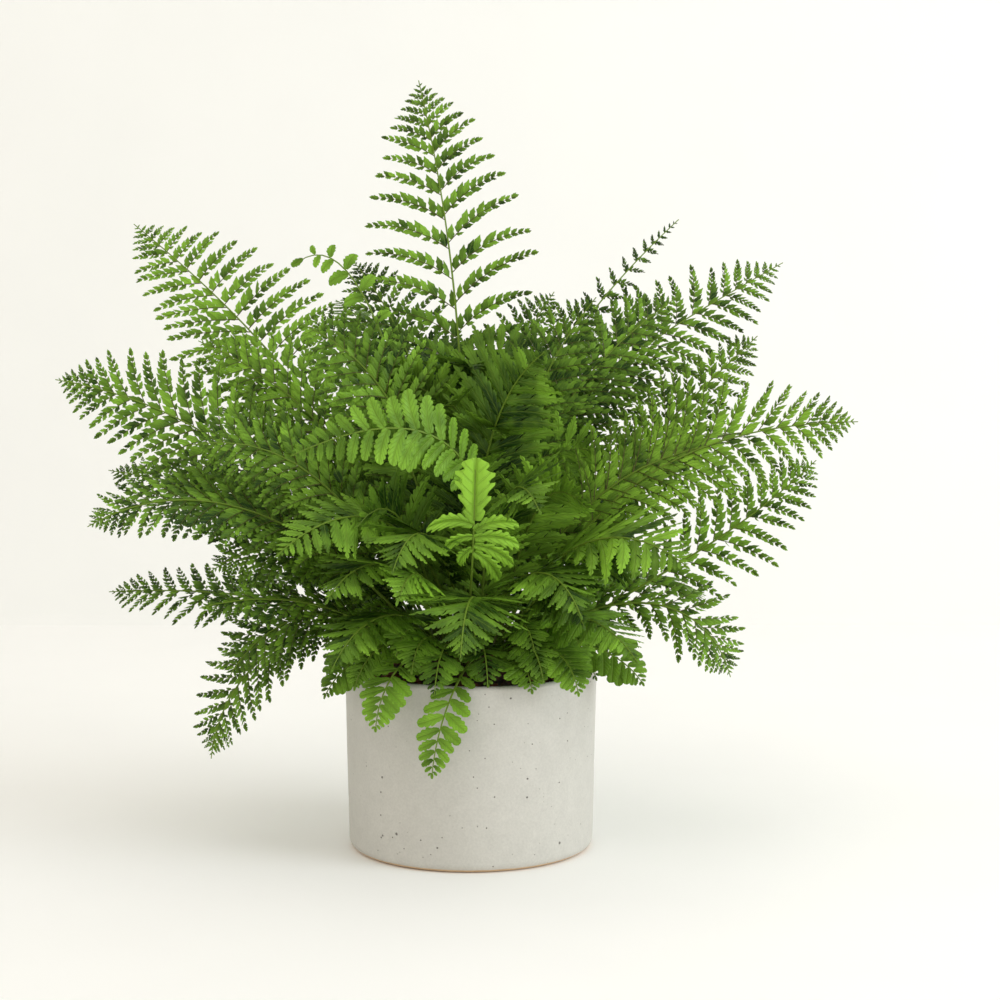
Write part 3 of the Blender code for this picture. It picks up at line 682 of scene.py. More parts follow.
def turned_points(profile, sides):
    """A profile of (radius, height) carried round the upright axis, as (rings, sides, 3)."""
    turn = 2 * np.pi * np.arange(sides) / sides
    radius, height = profile[:, 0][:, None], profile[:, 1][:, None]
    x, y = radius * np.cos(turn), radius * np.sin(turn)
    return np.stack([x, y, np.broadcast_to(height, x.shape)], axis=-1)


def inner_radius(height):
    """The pot's inside radius at this height."""
    return FOOT_RADIUS - POT_WALL + (RIM_RADIUS - FOOT_RADIUS) * height / POT_HEIGHT


def mix_height(radius):
    """The mix is heaped in the middle."""
    return MIX_MIDDLE_Z - (MIX_MIDDLE_Z - MIX_EDGE_Z) * (radius / RIM_RADIUS) ** 2


def make_pot(settings):
    """A turned shell: up the inside, round the rim, down the outside and round the foot. Its wall leans out
    by a fraction of a millimetre, as sines of the turn and the height, the way a hand-thrown pot does."""
    rim_round = POT_WALL / 2
    corner = 3 * MM
    floor_round = arc((inner_radius(POT_FLOOR) - corner, POT_FLOOR + corner), corner, -90, 0, 6)
    rim_centre = (RIM_RADIUS - rim_round, POT_HEIGHT - rim_round)
    foot_centre = (FOOT_RADIUS - FOOT_ROUNDING, FOOT_ROUNDING)
    outside = np.linspace((RIM_RADIUS, rim_centre[1]), (FOOT_RADIUS, FOOT_ROUNDING), 40)
    parts = [np.array([[5 * MM, POT_FLOOR]]), floor_round, arc(rim_centre, rim_round, 180, 4, 14), outside]
    parts += [arc(foot_centre, FOOT_ROUNDING, -8, -90, 8), np.array([[5 * MM, 0.0]])]
    profile = np.concatenate(parts)
    skin = turned_points(profile, settings.sides)
    turn = np.linspace(0, 2 * np.pi, settings.sides, endpoint=False)
    high = skin[..., 2] / POT_HEIGHT
    lean = 0.25 * MM * high * np.sin(2 * turn + 0.6) + 0.10 * MM * np.sin(5 * turn + 9 * high) * high
    skin[..., 0] += lean * np.cos(turn)
    skin[..., 1] += lean * np.sin(turn)
    skin[..., 2] += settings.rim_wave * high**8 * np.sin(3 * turn + 1.1)
    shape = Shape()
    middle = np.array([[0, 0, POT_FLOOR]]), np.array([[0.0, 0, 0]])
    add_wrapped(shape, skin[None], *middle, (0.0, 0.0, 0.0, 0.0, 0.0))
    pot = make_object("stoneware_pot", shape, stoneware(settings), 60)
    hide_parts("pot")


def scattered(rng, count, inside, outside):
    """Random places on the ground between two radii, as x and y."""
    radius = np.sqrt(rng.uniform(inside**2, outside**2, count))
    turn = rng.uniform(0, 2 * np.pi, count)
    return np.stack([radius * np.cos(turn), radius * np.sin(turn)], axis=1)


def add_bits(shape, rng, places, length, thin, tones, rings, sides):
    """Bits of bark or peat. Each is a spindle: a ring's radius is the sine of its place along the bit,
    flattened to thin and with every point moved in or out a little, and each lies nearly flat on the mix."""
    count = len(places)
    radius = np.linalg.norm(places, axis=1)
    ground = mix_height(radius) + length * rng.uniform(0.0, 0.16, count)
    centre = np.column_stack([places, ground])
    turn = rng.uniform(0, 2 * np.pi, count)
    pitch = rng.normal(0, 0.25, count)
    along = np.stack([np.cos(turn) * np.cos(pitch), np.sin(turn) * np.cos(pitch), np.sin(pitch)], axis=1)
    up = unit(UP + rng.normal(0, 0.3, (count, 3)))
    side = unit(np.cross(along, up))
    up = np.cross(side, along)
    step = np.linspace(0.18, 0.82, rings)
    swell = np.sin(np.pi * step)[None, :, None] * rng.uniform(0.7, 1.25, (count, rings, sides))
    around = 2 * np.pi * np.arange(sides) / sides
    wide = rng.uniform(0.24, 0.42, count)[:, None, None] * swell * np.cos(around)
    deep = thin * swell * np.sin(around)
    reach = (step[None, :, None] - 0.5) + rng.normal(0, 0.05, (count, rings, sides))
    parts = [reach[..., None] * along[:, None, None], wide[..., None] * side[:, None, None]]
    parts.append(deep[..., None] * up[:, None, None])
    skins = centre[:, None, None] + length[:, None, None, None] * sum(parts)
    ends = centre - 0.42 * length[:, None] * along, centre + 0.42 * length[:, None] * along
    add_wrapped(shape, skins, *ends, (0.0, 0.0, tones[:, None], 0.0, 0.0))


def make_mix(settings):
    """A closed body round the rhizome's socket. Its top is heaped and rippled by sines, with crumbs and
    chips on it."""
    rng = np.random.default_rng(7)
    socket = RHIZOME_RADIUS + FIT_GAP
    edge = inner_radius(MIX_EDGE_Z) - FIT_GAP
    bottom = POT_FLOOR + FIT_GAP
    radii = np.linspace(socket, edge, 34)
    top = np.stack([radii, mix_height(radii)], axis=1)
    floor = SOCKET_FLOOR_Z
    low = np.array([[5 * MM, floor], [socket * 0.8, floor], [socket, floor + 6 * MM]])
    under = np.array([[inner_radius(bottom) - FIT_GAP, bottom], [5 * MM, bottom]])
    skin = turned_points(np.concatenate([low, top, under]), 150)
    x, y = skin[..., 0], skin[..., 1]
    ripple = np.sin(410 * x + 2 * np.sin(260 * y)) + np.sin(380 * y + 2 * np.sin(300 * x + 1))
    ripple += 0.6 * np.sin(900 * (x - y))
    on_top = skin[..., 2] > floor + 8 * MM
    skin[..., 2] += 0.55 * MM * ripple * on_top
    shape = Shape()
    middle = np.array([[0, 0, floor]]), np.array([[0, 0, bottom]])
    add_wrapped(shape, skin[None], *middle, (0.0, 0.0, 0.05, 0.0, 0.0))
    inside = socket + 2 * MM
    outside = edge - 3 * MM
    crumbs = scattered(rng, settings.crumbs, inside, outside)
    sizes = MM * rng.uniform(1.2, 3.4, len(crumbs))
    add_bits(shape, rng, crumbs, sizes, 0.34, rng.uniform(0, 0.45, len(crumbs)), 2, 5)
    chips = scattered(rng, settings.chips, inside, outside - 2 * MM)
    sizes = settings.chip_size * rng.lognormal(0, 0.3, len(chips))
    add_bits(shape, rng, chips, sizes, 0.16, rng.uniform(0.35, 1, len(chips)), 4, 7)
    mix = make_object("bark_mix", shape, dry_matter("Bark mix", settings.peat, settings.bark, 260), 40)
    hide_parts("potting_mix")


def make_rhizome(settings):
    """The rhizome: a low dome, rippled by sines of the turn and the height, with narrow dry scales."""
    rng = np.random.default_rng(11)
    floor = SOCKET_FLOOR_Z + FIT_GAP
    radii = RHIZOME_RADIUS * np.sin(np.linspace(np.pi / 2, 0.1, 26))
    dome = np.stack([radii, rhizome_height(radii)], axis=1)[::-1]
    shoulder = [RHIZOME_RADIUS, SOCKET_FLOOR_Z + 6.5 * MM]
    low = np.array([shoulder, [RHIZOME_RADIUS * 0.8, floor], [4 * MM, floor]])
    skin = turned_points(np.concatenate([dome, low])[::-1], 96)[:, ::-1]
    turn = np.arctan2(skin[..., 1], skin[..., 0])
    knob = np.sin(9 * turn + 300 * skin[..., 2]) * np.sin(5 * turn - 500 * skin[..., 2])
    skin[..., 2] += 0.9 * MM * knob * (skin[..., 2] > RHIZOME_SHOULDER_Z + 2 * MM)
    shape = Shape()
    middle = np.array([[0, 0, floor]]), np.array([[0, 0, RHIZOME_SHOULDER_Z + RHIZOME_RISE]])
    add_wrapped(shape, skin[None], *middle, (0.0, 0.0, 0.1, 0.0, 0.0))
    place = scattered(rng, settings.scales, 2 * MM, RHIZOME_RADIUS - 1.5 * MM)
    radius = np.linalg.norm(place, axis=1)
    outward = np.column_stack([place / radius[:, None], np.zeros(len(place))])
    slope = RHIZOME_RISE * radius / RHIZOME_RADIUS**2 / np.sqrt(1 - (radius / RHIZOME_RADIUS) ** 2)
    normal = unit(outward * slope[:, None] + UP)
    root = np.column_stack([place, rhizome_height(radius) - 0.5 * MM])
    along = unit(np.cross(normal, rng.normal(0, 1, (len(place), 3))) + 0.9 * normal)
    length = MM * rng.uniform(4, 8, len(place))
    facing = np.cross(np.cross(along, normal), along)
    sweep = 0.5 * unit(outward - 0.4 * UP)
    tone = rng.uniform(0.3, 1, len(place))
    add_leaves(shape, SCALE, root, along, facing, length, 0.6 * MM, sweep, 0.1, 0.2 * MM, tone)
    finish = dry_matter("Rhizome scales", settings.peat, settings.bark, 500)
    rhizome = make_object("scaly_rhizome", shape, finish, 40)
    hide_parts("rhizome")


def pair_spots(frond):
    """Where the dressed pairs sit along the rib. From the tip down, each is farther from the next, until they
    are as far apart as the frond's pitch says."""
    if not frond.pitch:
        return pair_places(frond)
    whole = rib_length(frond)
    below = [FIRST_PAIR]
    while below[-1] < (1 - frond.bare) * whole:
        below.append(below[-1] + min(frond.pitch * MM, CLOSEST + PARTING * below[-1]))
    return 1 - np.array(below[::-1]) / whole


def young_leaflets(frond):
    """The newest leaf's few leaflets, from their table."""
    whole = rib_length(frond)
    grown = []
    for below, hand, start, end, length, half in YOUNG_LEAFLETS:
        place = 1 - below * MM / whole
        grown.append(Leaflet(frond, place, hand, length * MM, 0, 0, YOUNG_DROOP, start, end, half * MM))
    return grown


def leaflets_of(frond, solid, rng):
    """The frond's leaflets, which reach as far as the solid's and swing as the nearest of those does."""
    if frond.form is YOUNG:
        return young_leaflets(frond)
    whole = rib_length(frond)
    places = pair_places(frond)
    swings = np.zeros((len(places), 2))
    if solid:
        swings[:] = [[settled_swing(frond, place, hand, solid) for hand in (1, -1)] for place in places]
    swings *= 1 if frond.cut else WHOLE_SWING
    spots = pair_spots(frond)
    rooms = np.abs(np.diff(np.append(spots, 1.0))) * whole
    grown = []
    for spot, room in zip(spots, rooms):
        nearest = swings[int(np.argmin(np.abs(places - spot)))]
        near_tip = np.clip(1.2 - (1 - spot) / (1 - frond.bare) / 0.3, 0, 1)
        for hand, swing in zip((1, -1), nearest):
            place = spot + hand * STAGGER * room / whole
            full = frond.share * leaflet_length(frond, min(max(place, frond.bare), 1))
            length = min(full * rng.uniform(0.92, 1.06), TIP_TAPER * (1 - place) * whole)
            droop = frond.form.droop + rng.uniform(-0.02, 0.05)
            skew = max(0, hand) * frond.skew
            start = frond.form.start + skew
            end = frond.spread + rng.normal(0, 3) - TIP_LEAN * near_tip + skew
            swing = swing + rng.normal(0, 4)
            grown.append(Leaflet(frond, place, hand, length, room, swing, droop, start, end))
    return grown


def add_rib(shape, frond):
    """The frond's own stem, from its foot in the rhizome to the tip. It thins evenly, with a groove above."""
    rings, sides = (30, 8) if frond in FRONDS else (14, 5)
    t = np.linspace(0, 1, rings)
    tangent, side, normal = rib_frames(frond, t)
    radius = STALK_HALF_WIDTH + (TIP_HALF_WIDTH * 0.6 - STALK_HALF_WIDTH) * t
    brown = np.clip(1.0 - 5.0 * t, 0, 1)
    rows = (x[None] for x in (rib_points(frond, t), side, normal, radius))
    add_stems(shape, *rows, sides, np.full((1, rings), frond.tone), brown[None], groove=0.35)


def add_midribs(shape, leaflets, tone):
    """The leaflets' midribs, which thin to their ends."""
    s = np.linspace(0, 1, 5)
    paths, sides, normals = [], [], []
    for leaflet in leaflets:
        along, normal, _ = leaflet.frames(s)
        paths.append(leaflet.points(s))
        normals.append(normal)
        sides.append(np.cross(along, normal))
    size = np.sqrt([x.length / LONG_LEAFLET for x in leaflets])
    radius = MIDRIB_RADIUS * size[:, None] * (1 - 0.65 * s)[None]
    even = np.ones(radius.shape)
    paths, sides, normals = np.array(paths), np.array(sides), np.array(normals)
    add_stems(shape, paths, sides, normals, radius, 3, tone * even, MIDRIB_BROWN * even)


def lobe_rows(leaflet, cut, settings, rng, tone):
    """Where the lobes of one lacy leaflet sit, and how they point. Those on the side of the frond's tip start
    next to the rib, and those on the other side farther out. They crowd to the end, as lobe k of n sits at
    1 - (1 - start) (1 - k / (n + 0.35))^1.22. They also shorten and lean forward to it, and stay clear of the
    next leaflet's. A leaflet shorter than SIMPLE is one lobe."""
    if leaflet.length < SIMPLE:
        along, normal, _ = leaflet.frames(np.array([0.2]))
        place, length = leaflet.root[None], np.array([leaflet.length])
        return [place, along, normal, length, 0.2 * length, np.zeros((1, 3)), np.array([tone])]
    size = min(1.0, (leaflet.length / LONG_LEAFLET) ** 0.6)
    longest = min(settings.lobe_length * size, 0.78 * leaflet.room + 0.06 * leaflet.length)
    rows = []
    for hand, start, pitch, full, lean in LOBE_ROWS:
        count = max(2, round((1 - start) * leaflet.length / (pitch * cut.pitch * longest)))
        s = 1 - (1 - start) * (1 - np.arange(count) / (count + 0.35)) ** 1.22
        shrink = full * (1 - 0.74 * s**1.7) * (1 if hand > 0 else np.clip(0.62 + 1.6 * (s - start), 0, 1))
        rows.append((s, hand, shrink, np.radians(lean - 20 * s)))
    rows.append((np.array([0.93]), 1, np.array([0.46]), np.array([0.0])))
    parts = []
    for s, hand, shrink, angle in rows:
        along, normal, tipward = leaflet.frames(s)
        length = longest * shrink * rng.uniform(0.86, 1.12, len(s))
        angle = angle + rng.normal(0, 0.09, len(s))
        out = hand * tipward
        point = np.cos(angle)[:, None] * along + np.sin(angle)[:, None] * out
        sweep = 0.20 * np.sin(angle)[:, None] * along - 0.10 * np.sin(angle)[:, None] * out
        tilt = normal + 0.28 * rng.normal(0, 1, (len(s), 3)) + 0.10 * out
        half = cut.half * length + 0.15 * MM
        tones = tone - 0.04 + rng.normal(0, 0.10) + rng.normal(0, 0.16, len(s))
        parts.append((leaflet.points(s), point, tilt, length, half, sweep, tones))
    return [np.concatenate(column) for column in zip(*parts)]


def add_lace(shape, frond, leaflets, settings, rng):
    """The midribs of a lacy frond's leaflets and all their lobes."""
    add_midribs(shape, [x for x in leaflets if x.length > SIMPLE], frond.tone)
    rows = [lobe_rows(x, frond.cut, settings, rng, frond.tone) for x in leaflets]
    place, along, normal, length, half, sweep, tone = (np.concatenate(c) for c in zip(*rows))
    add_leaves(shape, LOBE, place, along, normal, length, half, sweep, 0.07, settings.thickness, tone)


def leaf_rows(frond, leaflets, start, tip, end, end_sweep):
    """Place, direction, normal, length and sweep of a single leaf along each midrib, whose blade begins at
    start, and of one more at the rib's place tip, which is end long and sweeps along its normal by
    end_sweep."""
    tangent, _, normal = (axis[0] for axis in rib_frames(frond, np.array([tip])))
    place = np.array([x.root + start * x.first for x in leaflets] + [rib_points(frond, np.array([tip]))[0]])
    along = np.array([x.first for x in leaflets] + [tangent])
    facing = np.array([x.normal for x in leaflets] + [normal])
    length = np.array([x.length for x in leaflets] + [end])
    sweep = np.array([(x.last - x.first) / 2 - x.droop * UP for x in leaflets] + [end_sweep * normal])
    return place, along, facing, length, sweep


def add_feathers(shape, frond, leaflets, settings, rng):
    """A frond whose leaflets are single leaves with deep teeth, each along its midrib's curve."""
    place, along, facing, length, sweep = leaf_rows(frond, leaflets, 0, 0.985, 5 * MM, 0)
    facing = facing + 0.20 * rng.normal(0, 1, facing.shape)
    half = np.array([min(0.46 * x.room, 0.28 * x.length) for x in leaflets] + [1.2 * MM])
    tone = frond.tone + rng.normal(0, 0.15, len(place))
    thick = settings.thickness
    add_leaves(shape, FEATHER_LEAF, place, along, facing, length, half, sweep, 0.08, thick, tone)


def add_blades(shape, frond, leaflets, settings, rng):
    """Undivided leaflets, and one at the rib's end. Each follows its midrib's curve, and is folded."""
    leaf = BROAD_LEAF if frond.width > 19 else RIM_LEAF if frond in FRONDS else SMALL_LEAF
    end = 1.15 * leaflets[-1].length
    end_half = 0.35 * leaflets[-1].length
    if frond.form is YOUNG:
        leaf = YOUNG_LEAF
        end, end_half = MM * np.array(YOUNG_TIP)
    tip = 1 - 0.8 * end / rib_length(frond)
    place, along, facing, length, sweep = leaf_rows(frond, leaflets, 0.6 * MM, tip, end, -0.1)
    half = np.array([max(x.half_width, 0.23 * x.length) for x in leaflets] + [end_half])
    if leaf is RIM_LEAF:
        half = np.maximum(half, 0.28 * length)
    tone = frond.tone + rng.normal(0, 0.06, len(place))
    facing = facing + 0.08 * rng.normal(0, 1, facing.shape)
    thick = 1.2 * settings.thickness
    add_leaves(shape, leaf, place, along, facing, length, half, sweep, 0.05, thick, tone)


def add_leaflets(shape, frond, solid, settings, rng):
    """The frond's rib and all its leaflets, divided as its cut says."""
    leaflets = leaflets_of(frond, solid, rng)
    add_rib(shape, frond)
    if frond.cut is FEATHER:
        add_feathers(shape, frond, leaflets, settings, rng)
    elif frond.cut:
        add_lace(shape, frond, leaflets, settings, rng)
    else:
        add_blades(shape, frond, leaflets, settings, rng)


def make_frond(frond, settings, finish):
    """One frond: its rib, its leaflets' midribs and their blades."""
    rng = np.random.default_rng(100 + FRONDS.index(frond))
    solid = BVHTree.FromObject(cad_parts["frond_" + frond.name], bpy.context.evaluated_depsgraph_get())
    shape = Shape()
    add_leaflets(shape, frond, solid, settings, rng)
    grown = make_object(frond.name + "_blade", shape, finish)
    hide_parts("frond_" + frond.name)


def facing_viewers(x, y):
    """The azimuth outwards from the middle, turned on to the nearer of the plant's front and back."""
    return math.degrees(math.atan2(y + math.copysign(1.1, y), x))


def heart_frond(i, count):
    """One of the short fronds in the plant's heart. They follow each other round the rhizome by the golden
    angle, from upright ones inside to low ones outside, and leave room before the newest leaf."""
    level = (i + 0.5) / count
    bearing = GOLDEN_ANGLE * i % 360
    x, y, _ = compass(bearing, 0)
    reach = 50 + 80 * level**0.8
    height = 318 - 168 * level
    if abs(bearing - NEWEST_BEARING) < 30 and height > 190:
        reach *= 0.62
    tip = (reach * x, reach * y, height)
    face = (facing_viewers(x, y), 24)
    tone = 0.44 + 0.30 * math.sin(5 * i)
    pitch = 8.5 + 1.5 * math.sin(7 * i)
    return Frond(f"heart_{i + 1}", LACY, 8 + 22 * level, bearing, tip, 84 - 26 * level, -10 - 50 * level,
                 face, 42 - 8 * level, 7, 0.26, tone, pitch, FEATHER, 0.44)


def collar_frond(i, count):
    """One of the little fronds that lie on the mix and hang over the rim."""
    bearing = 360 * i / count + 10 * math.sin(3 * i)
    x, y, _ = compass(bearing, 0)
    reach = 90 + 7 * math.sin(2 * i)
    tip = (reach * x, reach * y, 124 + 13 * math.sin(4 * i))
    face = (facing_viewers(x, y), 24)
    tone = 0.45 + 0.2 * math.sin(7 * i)
    return Frond(f"collar_{i + 1}", BROAD, 31, bearing, tip, 68, -72, face, 18, 5, 0.3, tone, 9, bow=0.56)


def make_extras(settings, finish, name, fronds):
    """Short fronds that have no solids of their own, in four pieces, one for each quarter of the plant."""
    quarters = [Shape() for _ in range(4)]
    for i, frond in enumerate(fronds):
        shape = quarters[int(frond.bearing % 360 // 90)]
        add_leaflets(shape, frond, None, settings, np.random.default_rng(500 + i))
    for number, shape in enumerate(quarters):
        make_object(f"{name}_{number + 1}", shape, finish)


def new_node(tree, kind, inputs=None, **settings):
    """A shader node. inputs holds numbers or other nodes' outputs, by the input's name or place."""
    node = tree.nodes.new("ShaderNode" + kind)
    for name, value in settings.items():
        setattr(node, name, value)
    for key, value in (inputs or {}).items():
        if isinstance(value, bpy.types.NodeSocket):
            tree.links.new(value, node.inputs[key])
        else:
            node.inputs[key].default_value = value
    return node


def combined(tree, operation, first, second=0.0, third=0.0):
    """first and second put together by a Math node."""
    return new_node(tree, "Math", {0: first, 1: second, 2: third}, operation=operation).outputs[0]


def ramp(tree, value, start, end, low=0.0, high=1.0):
    """value taken smoothly from start..end to low..high."""
    inputs = {"Value": value, "From Min": start, "From Max": end, "To Min": low, "To Max": high}
    return new_node(tree, "MapRange", inputs, interpolation_type="SMOOTHSTEP").outputs["Result"]


def mixed(tree, share, first, second, blend="MIX"):
    """Two colours mixed: share of the second."""
    node = new_node(tree, "Mix", {0: share, 6: first, 7: second}, data_type="RGBA", blend_type=blend)
    return node.outputs[2]


def noise(tree, where, scale, detail=3.0, roughness=0.55):
    inputs = {"Vector": where, "Scale": scale, "Detail": detail, "Roughness": roughness}
    return new_node(tree, "TexNoise", inputs).outputs["Fac"]


def attribute(tree, name):
    return new_node(tree, "Attribute", attribute_name=name).outputs["Fac"]


def new_group(name, inputs, outputs):
    """An empty node group and its end nodes. inputs holds (name, kind, default), and outputs (name, kind)."""
    group = bpy.data.node_groups.new(name, "ShaderNodeTree")
    for socket, kind, default in inputs:
        made = group.interface.new_socket(socket, in_out="INPUT", socket_type="NodeSocket" + kind)
        made.default_value = default
    for socket, kind in outputs:
        group.interface.new_socket(socket, in_out="OUTPUT", socket_type="NodeSocket" + kind)
    return group, group.nodes.new("NodeGroupInput").outputs, group.nodes.new("NodeGroupOutput").inputs


def shared_group(name, build):
    """The node group of this name, built the first time it is asked for."""
    return bpy.data.node_groups.get(name) or build(name)


def placed_group(tree, group, values):
    node = tree.nodes.new("ShaderNodeGroup")
    node.node_tree = group
    for name, value in values.items():
        node.inputs[name].default_value = value
    return node.outputs


def new_finish(name, colour):
    """A material, its tree, its Principled shader and its Object coordinates."""
    finish = bpy.data.materials.new(name)
    finish.use_nodes = True
    finish.diffuse_color = colour
    tree = finish.node_tree
    where = tree.nodes.new("ShaderNodeTexCoord").outputs["Object"]
    return finish, tree, tree.nodes["Principled BSDF"], where


def bumped(tree, shader, height, distance, strength=1.0):
    """Feeds the shader's normal from a height between 0 and 1, which stands for this distance."""
    bump = new_node(tree, "Bump", {"Height": height, "Distance": distance, "Strength": strength})
    tree.links.new(bump.outputs["Normal"], shader.inputs["Normal"])


def leaf_surface(name):
    """Green blade and stem. A blade's colour runs with its tone, is paler on its veins and mottled by noise.
    It carries painted shade at its root, painted light towards its tip, and a painted sheen at its edges.
    A stem runs from green to brown. Height rises between the veins."""
    inputs = [(each, "Color", (0, 0, 0, 1)) for each in ("Old", "Young", "Stalk", "Dry")]
    inputs.append(("Veins", "Float", 9.0))
    outputs = [("Color", "Color"), ("Roughness", "Float"), ("Height", "Float")]
    tree, given, made = new_group(name, inputs, outputs)
    where = new_node(tree, "TexCoord").outputs["Object"]
    along, across, tone = attribute(tree, "along"), attribute(tree, "across"), attribute(tree, "tone")
    stalk, brown = attribute(tree, "stalk"), attribute(tree, "brown")
    out = combined(tree, "ABSOLUTE", across)
    mid = ramp(tree, out, 0.03, 0.16, 1.0, 0.0)
    slant = combined(tree, "MULTIPLY_ADD", out, -0.35, along)
    wave = combined(tree, "SINE", combined(tree, "MULTIPLY", slant, given["Veins"]))
    side = ramp(tree, wave, 0.55, 1.0)
    vein = combined(tree, "MAXIMUM", mid, combined(tree, "MULTIPLY", side, 0.6))
    patch = noise(tree, where, 55.0, 2.0)
    fine = noise(tree, where, 420.0, 3.0)
    shade = combined(tree, "ADD", tone, ramp(tree, patch, 0.3, 0.7, -0.22, 0.18))
    # Painted shade at each leaf's root and painted light towards its tip: darker at the root, lighter at the
    # tip.
    shade = combined(tree, "ADD", shade, ramp(tree, along, 0.1, 0.9, -0.14, 0.12))
    blade = mixed(tree, shade, given["Old"], given["Young"])
    blade = mixed(tree, combined(tree, "MULTIPLY", vein, 0.40), blade, given["Stalk"])
    # Painted sheen: the blade is lighter at its edges, mixed towards the young green.
    edge = ramp(tree, out, 0.6, 1.05, 0.0, 0.36)
    blade = mixed(tree, edge, blade, given["Young"])
    dryness = combined(tree, "MULTIPLY", brown, ramp(tree, fine, 0.2, 0.6, 0.7, 1.0))
    stem = mixed(tree, dryness, given["Stalk"], given["Dry"])
    tree.links.new(mixed(tree, stalk, blade, stem), made["Color"])
    tree.links.new(ramp(tree, fine, 0.3, 0.7, 0.38, 0.56), made["Roughness"])
    dip = combined(tree, "SUBTRACT", 1.0, vein)
    tree.links.new(combined(tree, "MULTIPLY_ADD", fine, 0.25, dip), made["Height"])
    return tree


def leaf_finish(name, settings, veins, relief):
    """A satin leaf with its own number of side veins and depth of relief."""
    finish, tree, shader, _ = new_finish(name, settings.old_green)
    values = {"Old": settings.old_green, "Young": settings.young_green, "Stalk": settings.stalk_green}
    values.update({"Dry": settings.stalk_brown, "Veins": veins})
    made = placed_group(tree, shared_group("Leaf surface", leaf_surface), values)
    tree.links.new(made["Color"], shader.inputs["Base Color"])
    tree.links.new(made["Roughness"], shader.inputs["Roughness"])
    bumped(tree, shader, made["Height"], relief)
    shader.inputs["Specular IOR Level"].default_value = 0.20
    return finish


def grainy(name):
    """Two scales of grain on Object coordinates, as a mask and a height."""
    outputs = [(each, "Float") for each in ("Coarse", "Fine", "Height")]
    tree, given, made = new_group(name, [("Scale", "Float", 100.0)], outputs)
    where = new_node(tree, "TexCoord").outputs["Object"]
    coarse = noise(tree, where, given["Scale"], 4.0, 0.6)
    fine = noise(tree, where, combined(tree, "MULTIPLY", given["Scale"], 6.0), 3.0, 0.6)
    tree.links.new(coarse, made["Coarse"])
    tree.links.new(fine, made["Fine"])
    tree.links.new(combined(tree, "MULTIPLY_ADD", fine, 0.4, coarse), made["Height"])
    return tree


def dry_matter(name, dark, light, scale):
    """Bark, peat or dry scales, from a dark colour to a light one with each bit's tone."""
    finish, tree, shader, _ = new_finish(name, light)
    grain = placed_group(tree, shared_group("Grain", grainy), {"Scale": scale})
    cloud = ramp(tree, grain["Coarse"], 0.3, 0.7, -0.25, 0.2)
    shade = combined(tree, "ADD", attribute(tree, "tone"), cloud)
    tree.links.new(mixed(tree, shade, dark, light), shader.inputs["Base Color"])
    tree.links.new(ramp(tree, grain["Fine"], 0.3, 0.7, 0.75, 0.95), shader.inputs["Roughness"])
    bumped(tree, shader, grain["Height"], 0.5 * MM)
    return finish


def specks(tree, where, scale, present, small, large):
    """Round specks in some cells of a Voronoi pattern, as a mask."""
    inputs = {"Vector": where, "Scale": scale, "Randomness": 1.0}
    cells = new_node(tree, "TexVoronoi", inputs)
    chance = new_node(tree, "SeparateColor", {"Color": cells.outputs["Color"]})
    there = combined(tree, "LESS_THAN", chance.outputs["Red"], present)
    radius = combined(tree, "MULTIPLY_ADD", chance.outputs["Green"], large - small, small)
    closeness = combined(tree, "SUBTRACT", radius, cells.outputs["Distance"])
    return combined(tree, "MULTIPLY", ramp(tree, closeness, 0.0, 0.06), there)


def stoneware(settings):
    """Matte grey clay: clouded, grained, with dark specks of three sizes, and bare at the foot."""
    finish, tree, shader, where = new_finish("Speckled stoneware", settings.clay)
    grain = placed_group(tree, shared_group("Grain", grainy), {"Scale": 120.0})
    cloud = ramp(tree, noise(tree, where, 14.0, 3.0), 0.3, 0.7, 0.97, 1.03)
    mottle = ramp(tree, grain["Coarse"], 0.3, 0.7, 0.975, 1.02)
    value = combined(tree, "MULTIPLY", cloud, mottle)
    value = combined(tree, "MULTIPLY", value, ramp(tree, grain["Fine"], 0.3, 0.7, 0.95, 1.04))
    grey = new_node(tree, "CombineColor", {"Red": value, "Green": value, "Blue": value}).outputs[0]
    body = mixed(tree, 1.0, settings.clay, grey, "MULTIPLY")
    pits = 0.0
    for sizes in SPECKS:
        spot = specks(tree, where, *sizes)
        body = mixed(tree, combined(tree, "MULTIPLY", spot, 0.8), body, settings.speck)
        pits = combined(tree, "MAXIMUM", spot, pits)
    height = new_node(tree, "SeparateXYZ", {"Vector": where}).outputs["Z"]
    ragged = combined(tree, "MULTIPLY_ADD", grain["Coarse"], 0.8 * MM, height)
    foot = ramp(tree, ragged, 2.0 * MM, 3.0 * MM, 1.0, 0.0)
    tree.links.new(mixed(tree, foot, body, settings.foot), shader.inputs["Base Color"])
    tree.links.new(ramp(tree, grain["Fine"], 0.3, 0.7, 0.62, 0.78), shader.inputs["Roughness"])
    surface = combined(tree, "MULTIPLY_ADD", pits, -1.2, grain["Height"])
    bumped(tree, shader, surface, 0.25 * MM)
    return finish


def paper(settings):
    """The studio's matte paper, clear from behind, so that the fern can be seen from all sides."""
    finish, tree, shader, where = new_finish("Studio paper", settings.paper)
    tooth = ramp(tree, noise(tree, where, 6.0, 2.0), 0.3, 0.7, 0.985, 1.0)
    grey = new_node(tree, "CombineColor", {"Red": tooth, "Green": tooth, "Blue": tooth}).outputs[0]
    height = new_node(tree, "SeparateXYZ", {"Vector": where}).outputs["Z"]
    wall = mixed(tree, ramp(tree, height, 0.0, 2.0 * MM), (1, 1, 1, 1), settings.wall)
    body = mixed(tree, 1.0, settings.paper, grey, "MULTIPLY")
    tree.links.new(mixed(tree, 1.0, body, wall, "MULTIPLY"), shader.inputs["Base Color"])
    shader.inputs["Roughness"].default_value = 0.9
    behind = new_node(tree, "NewGeometry").outputs["Backfacing"]
    tree.links.new(combined(tree, "SUBTRACT", 1.0, behind), shader.inputs["Alpha"])
    return finish


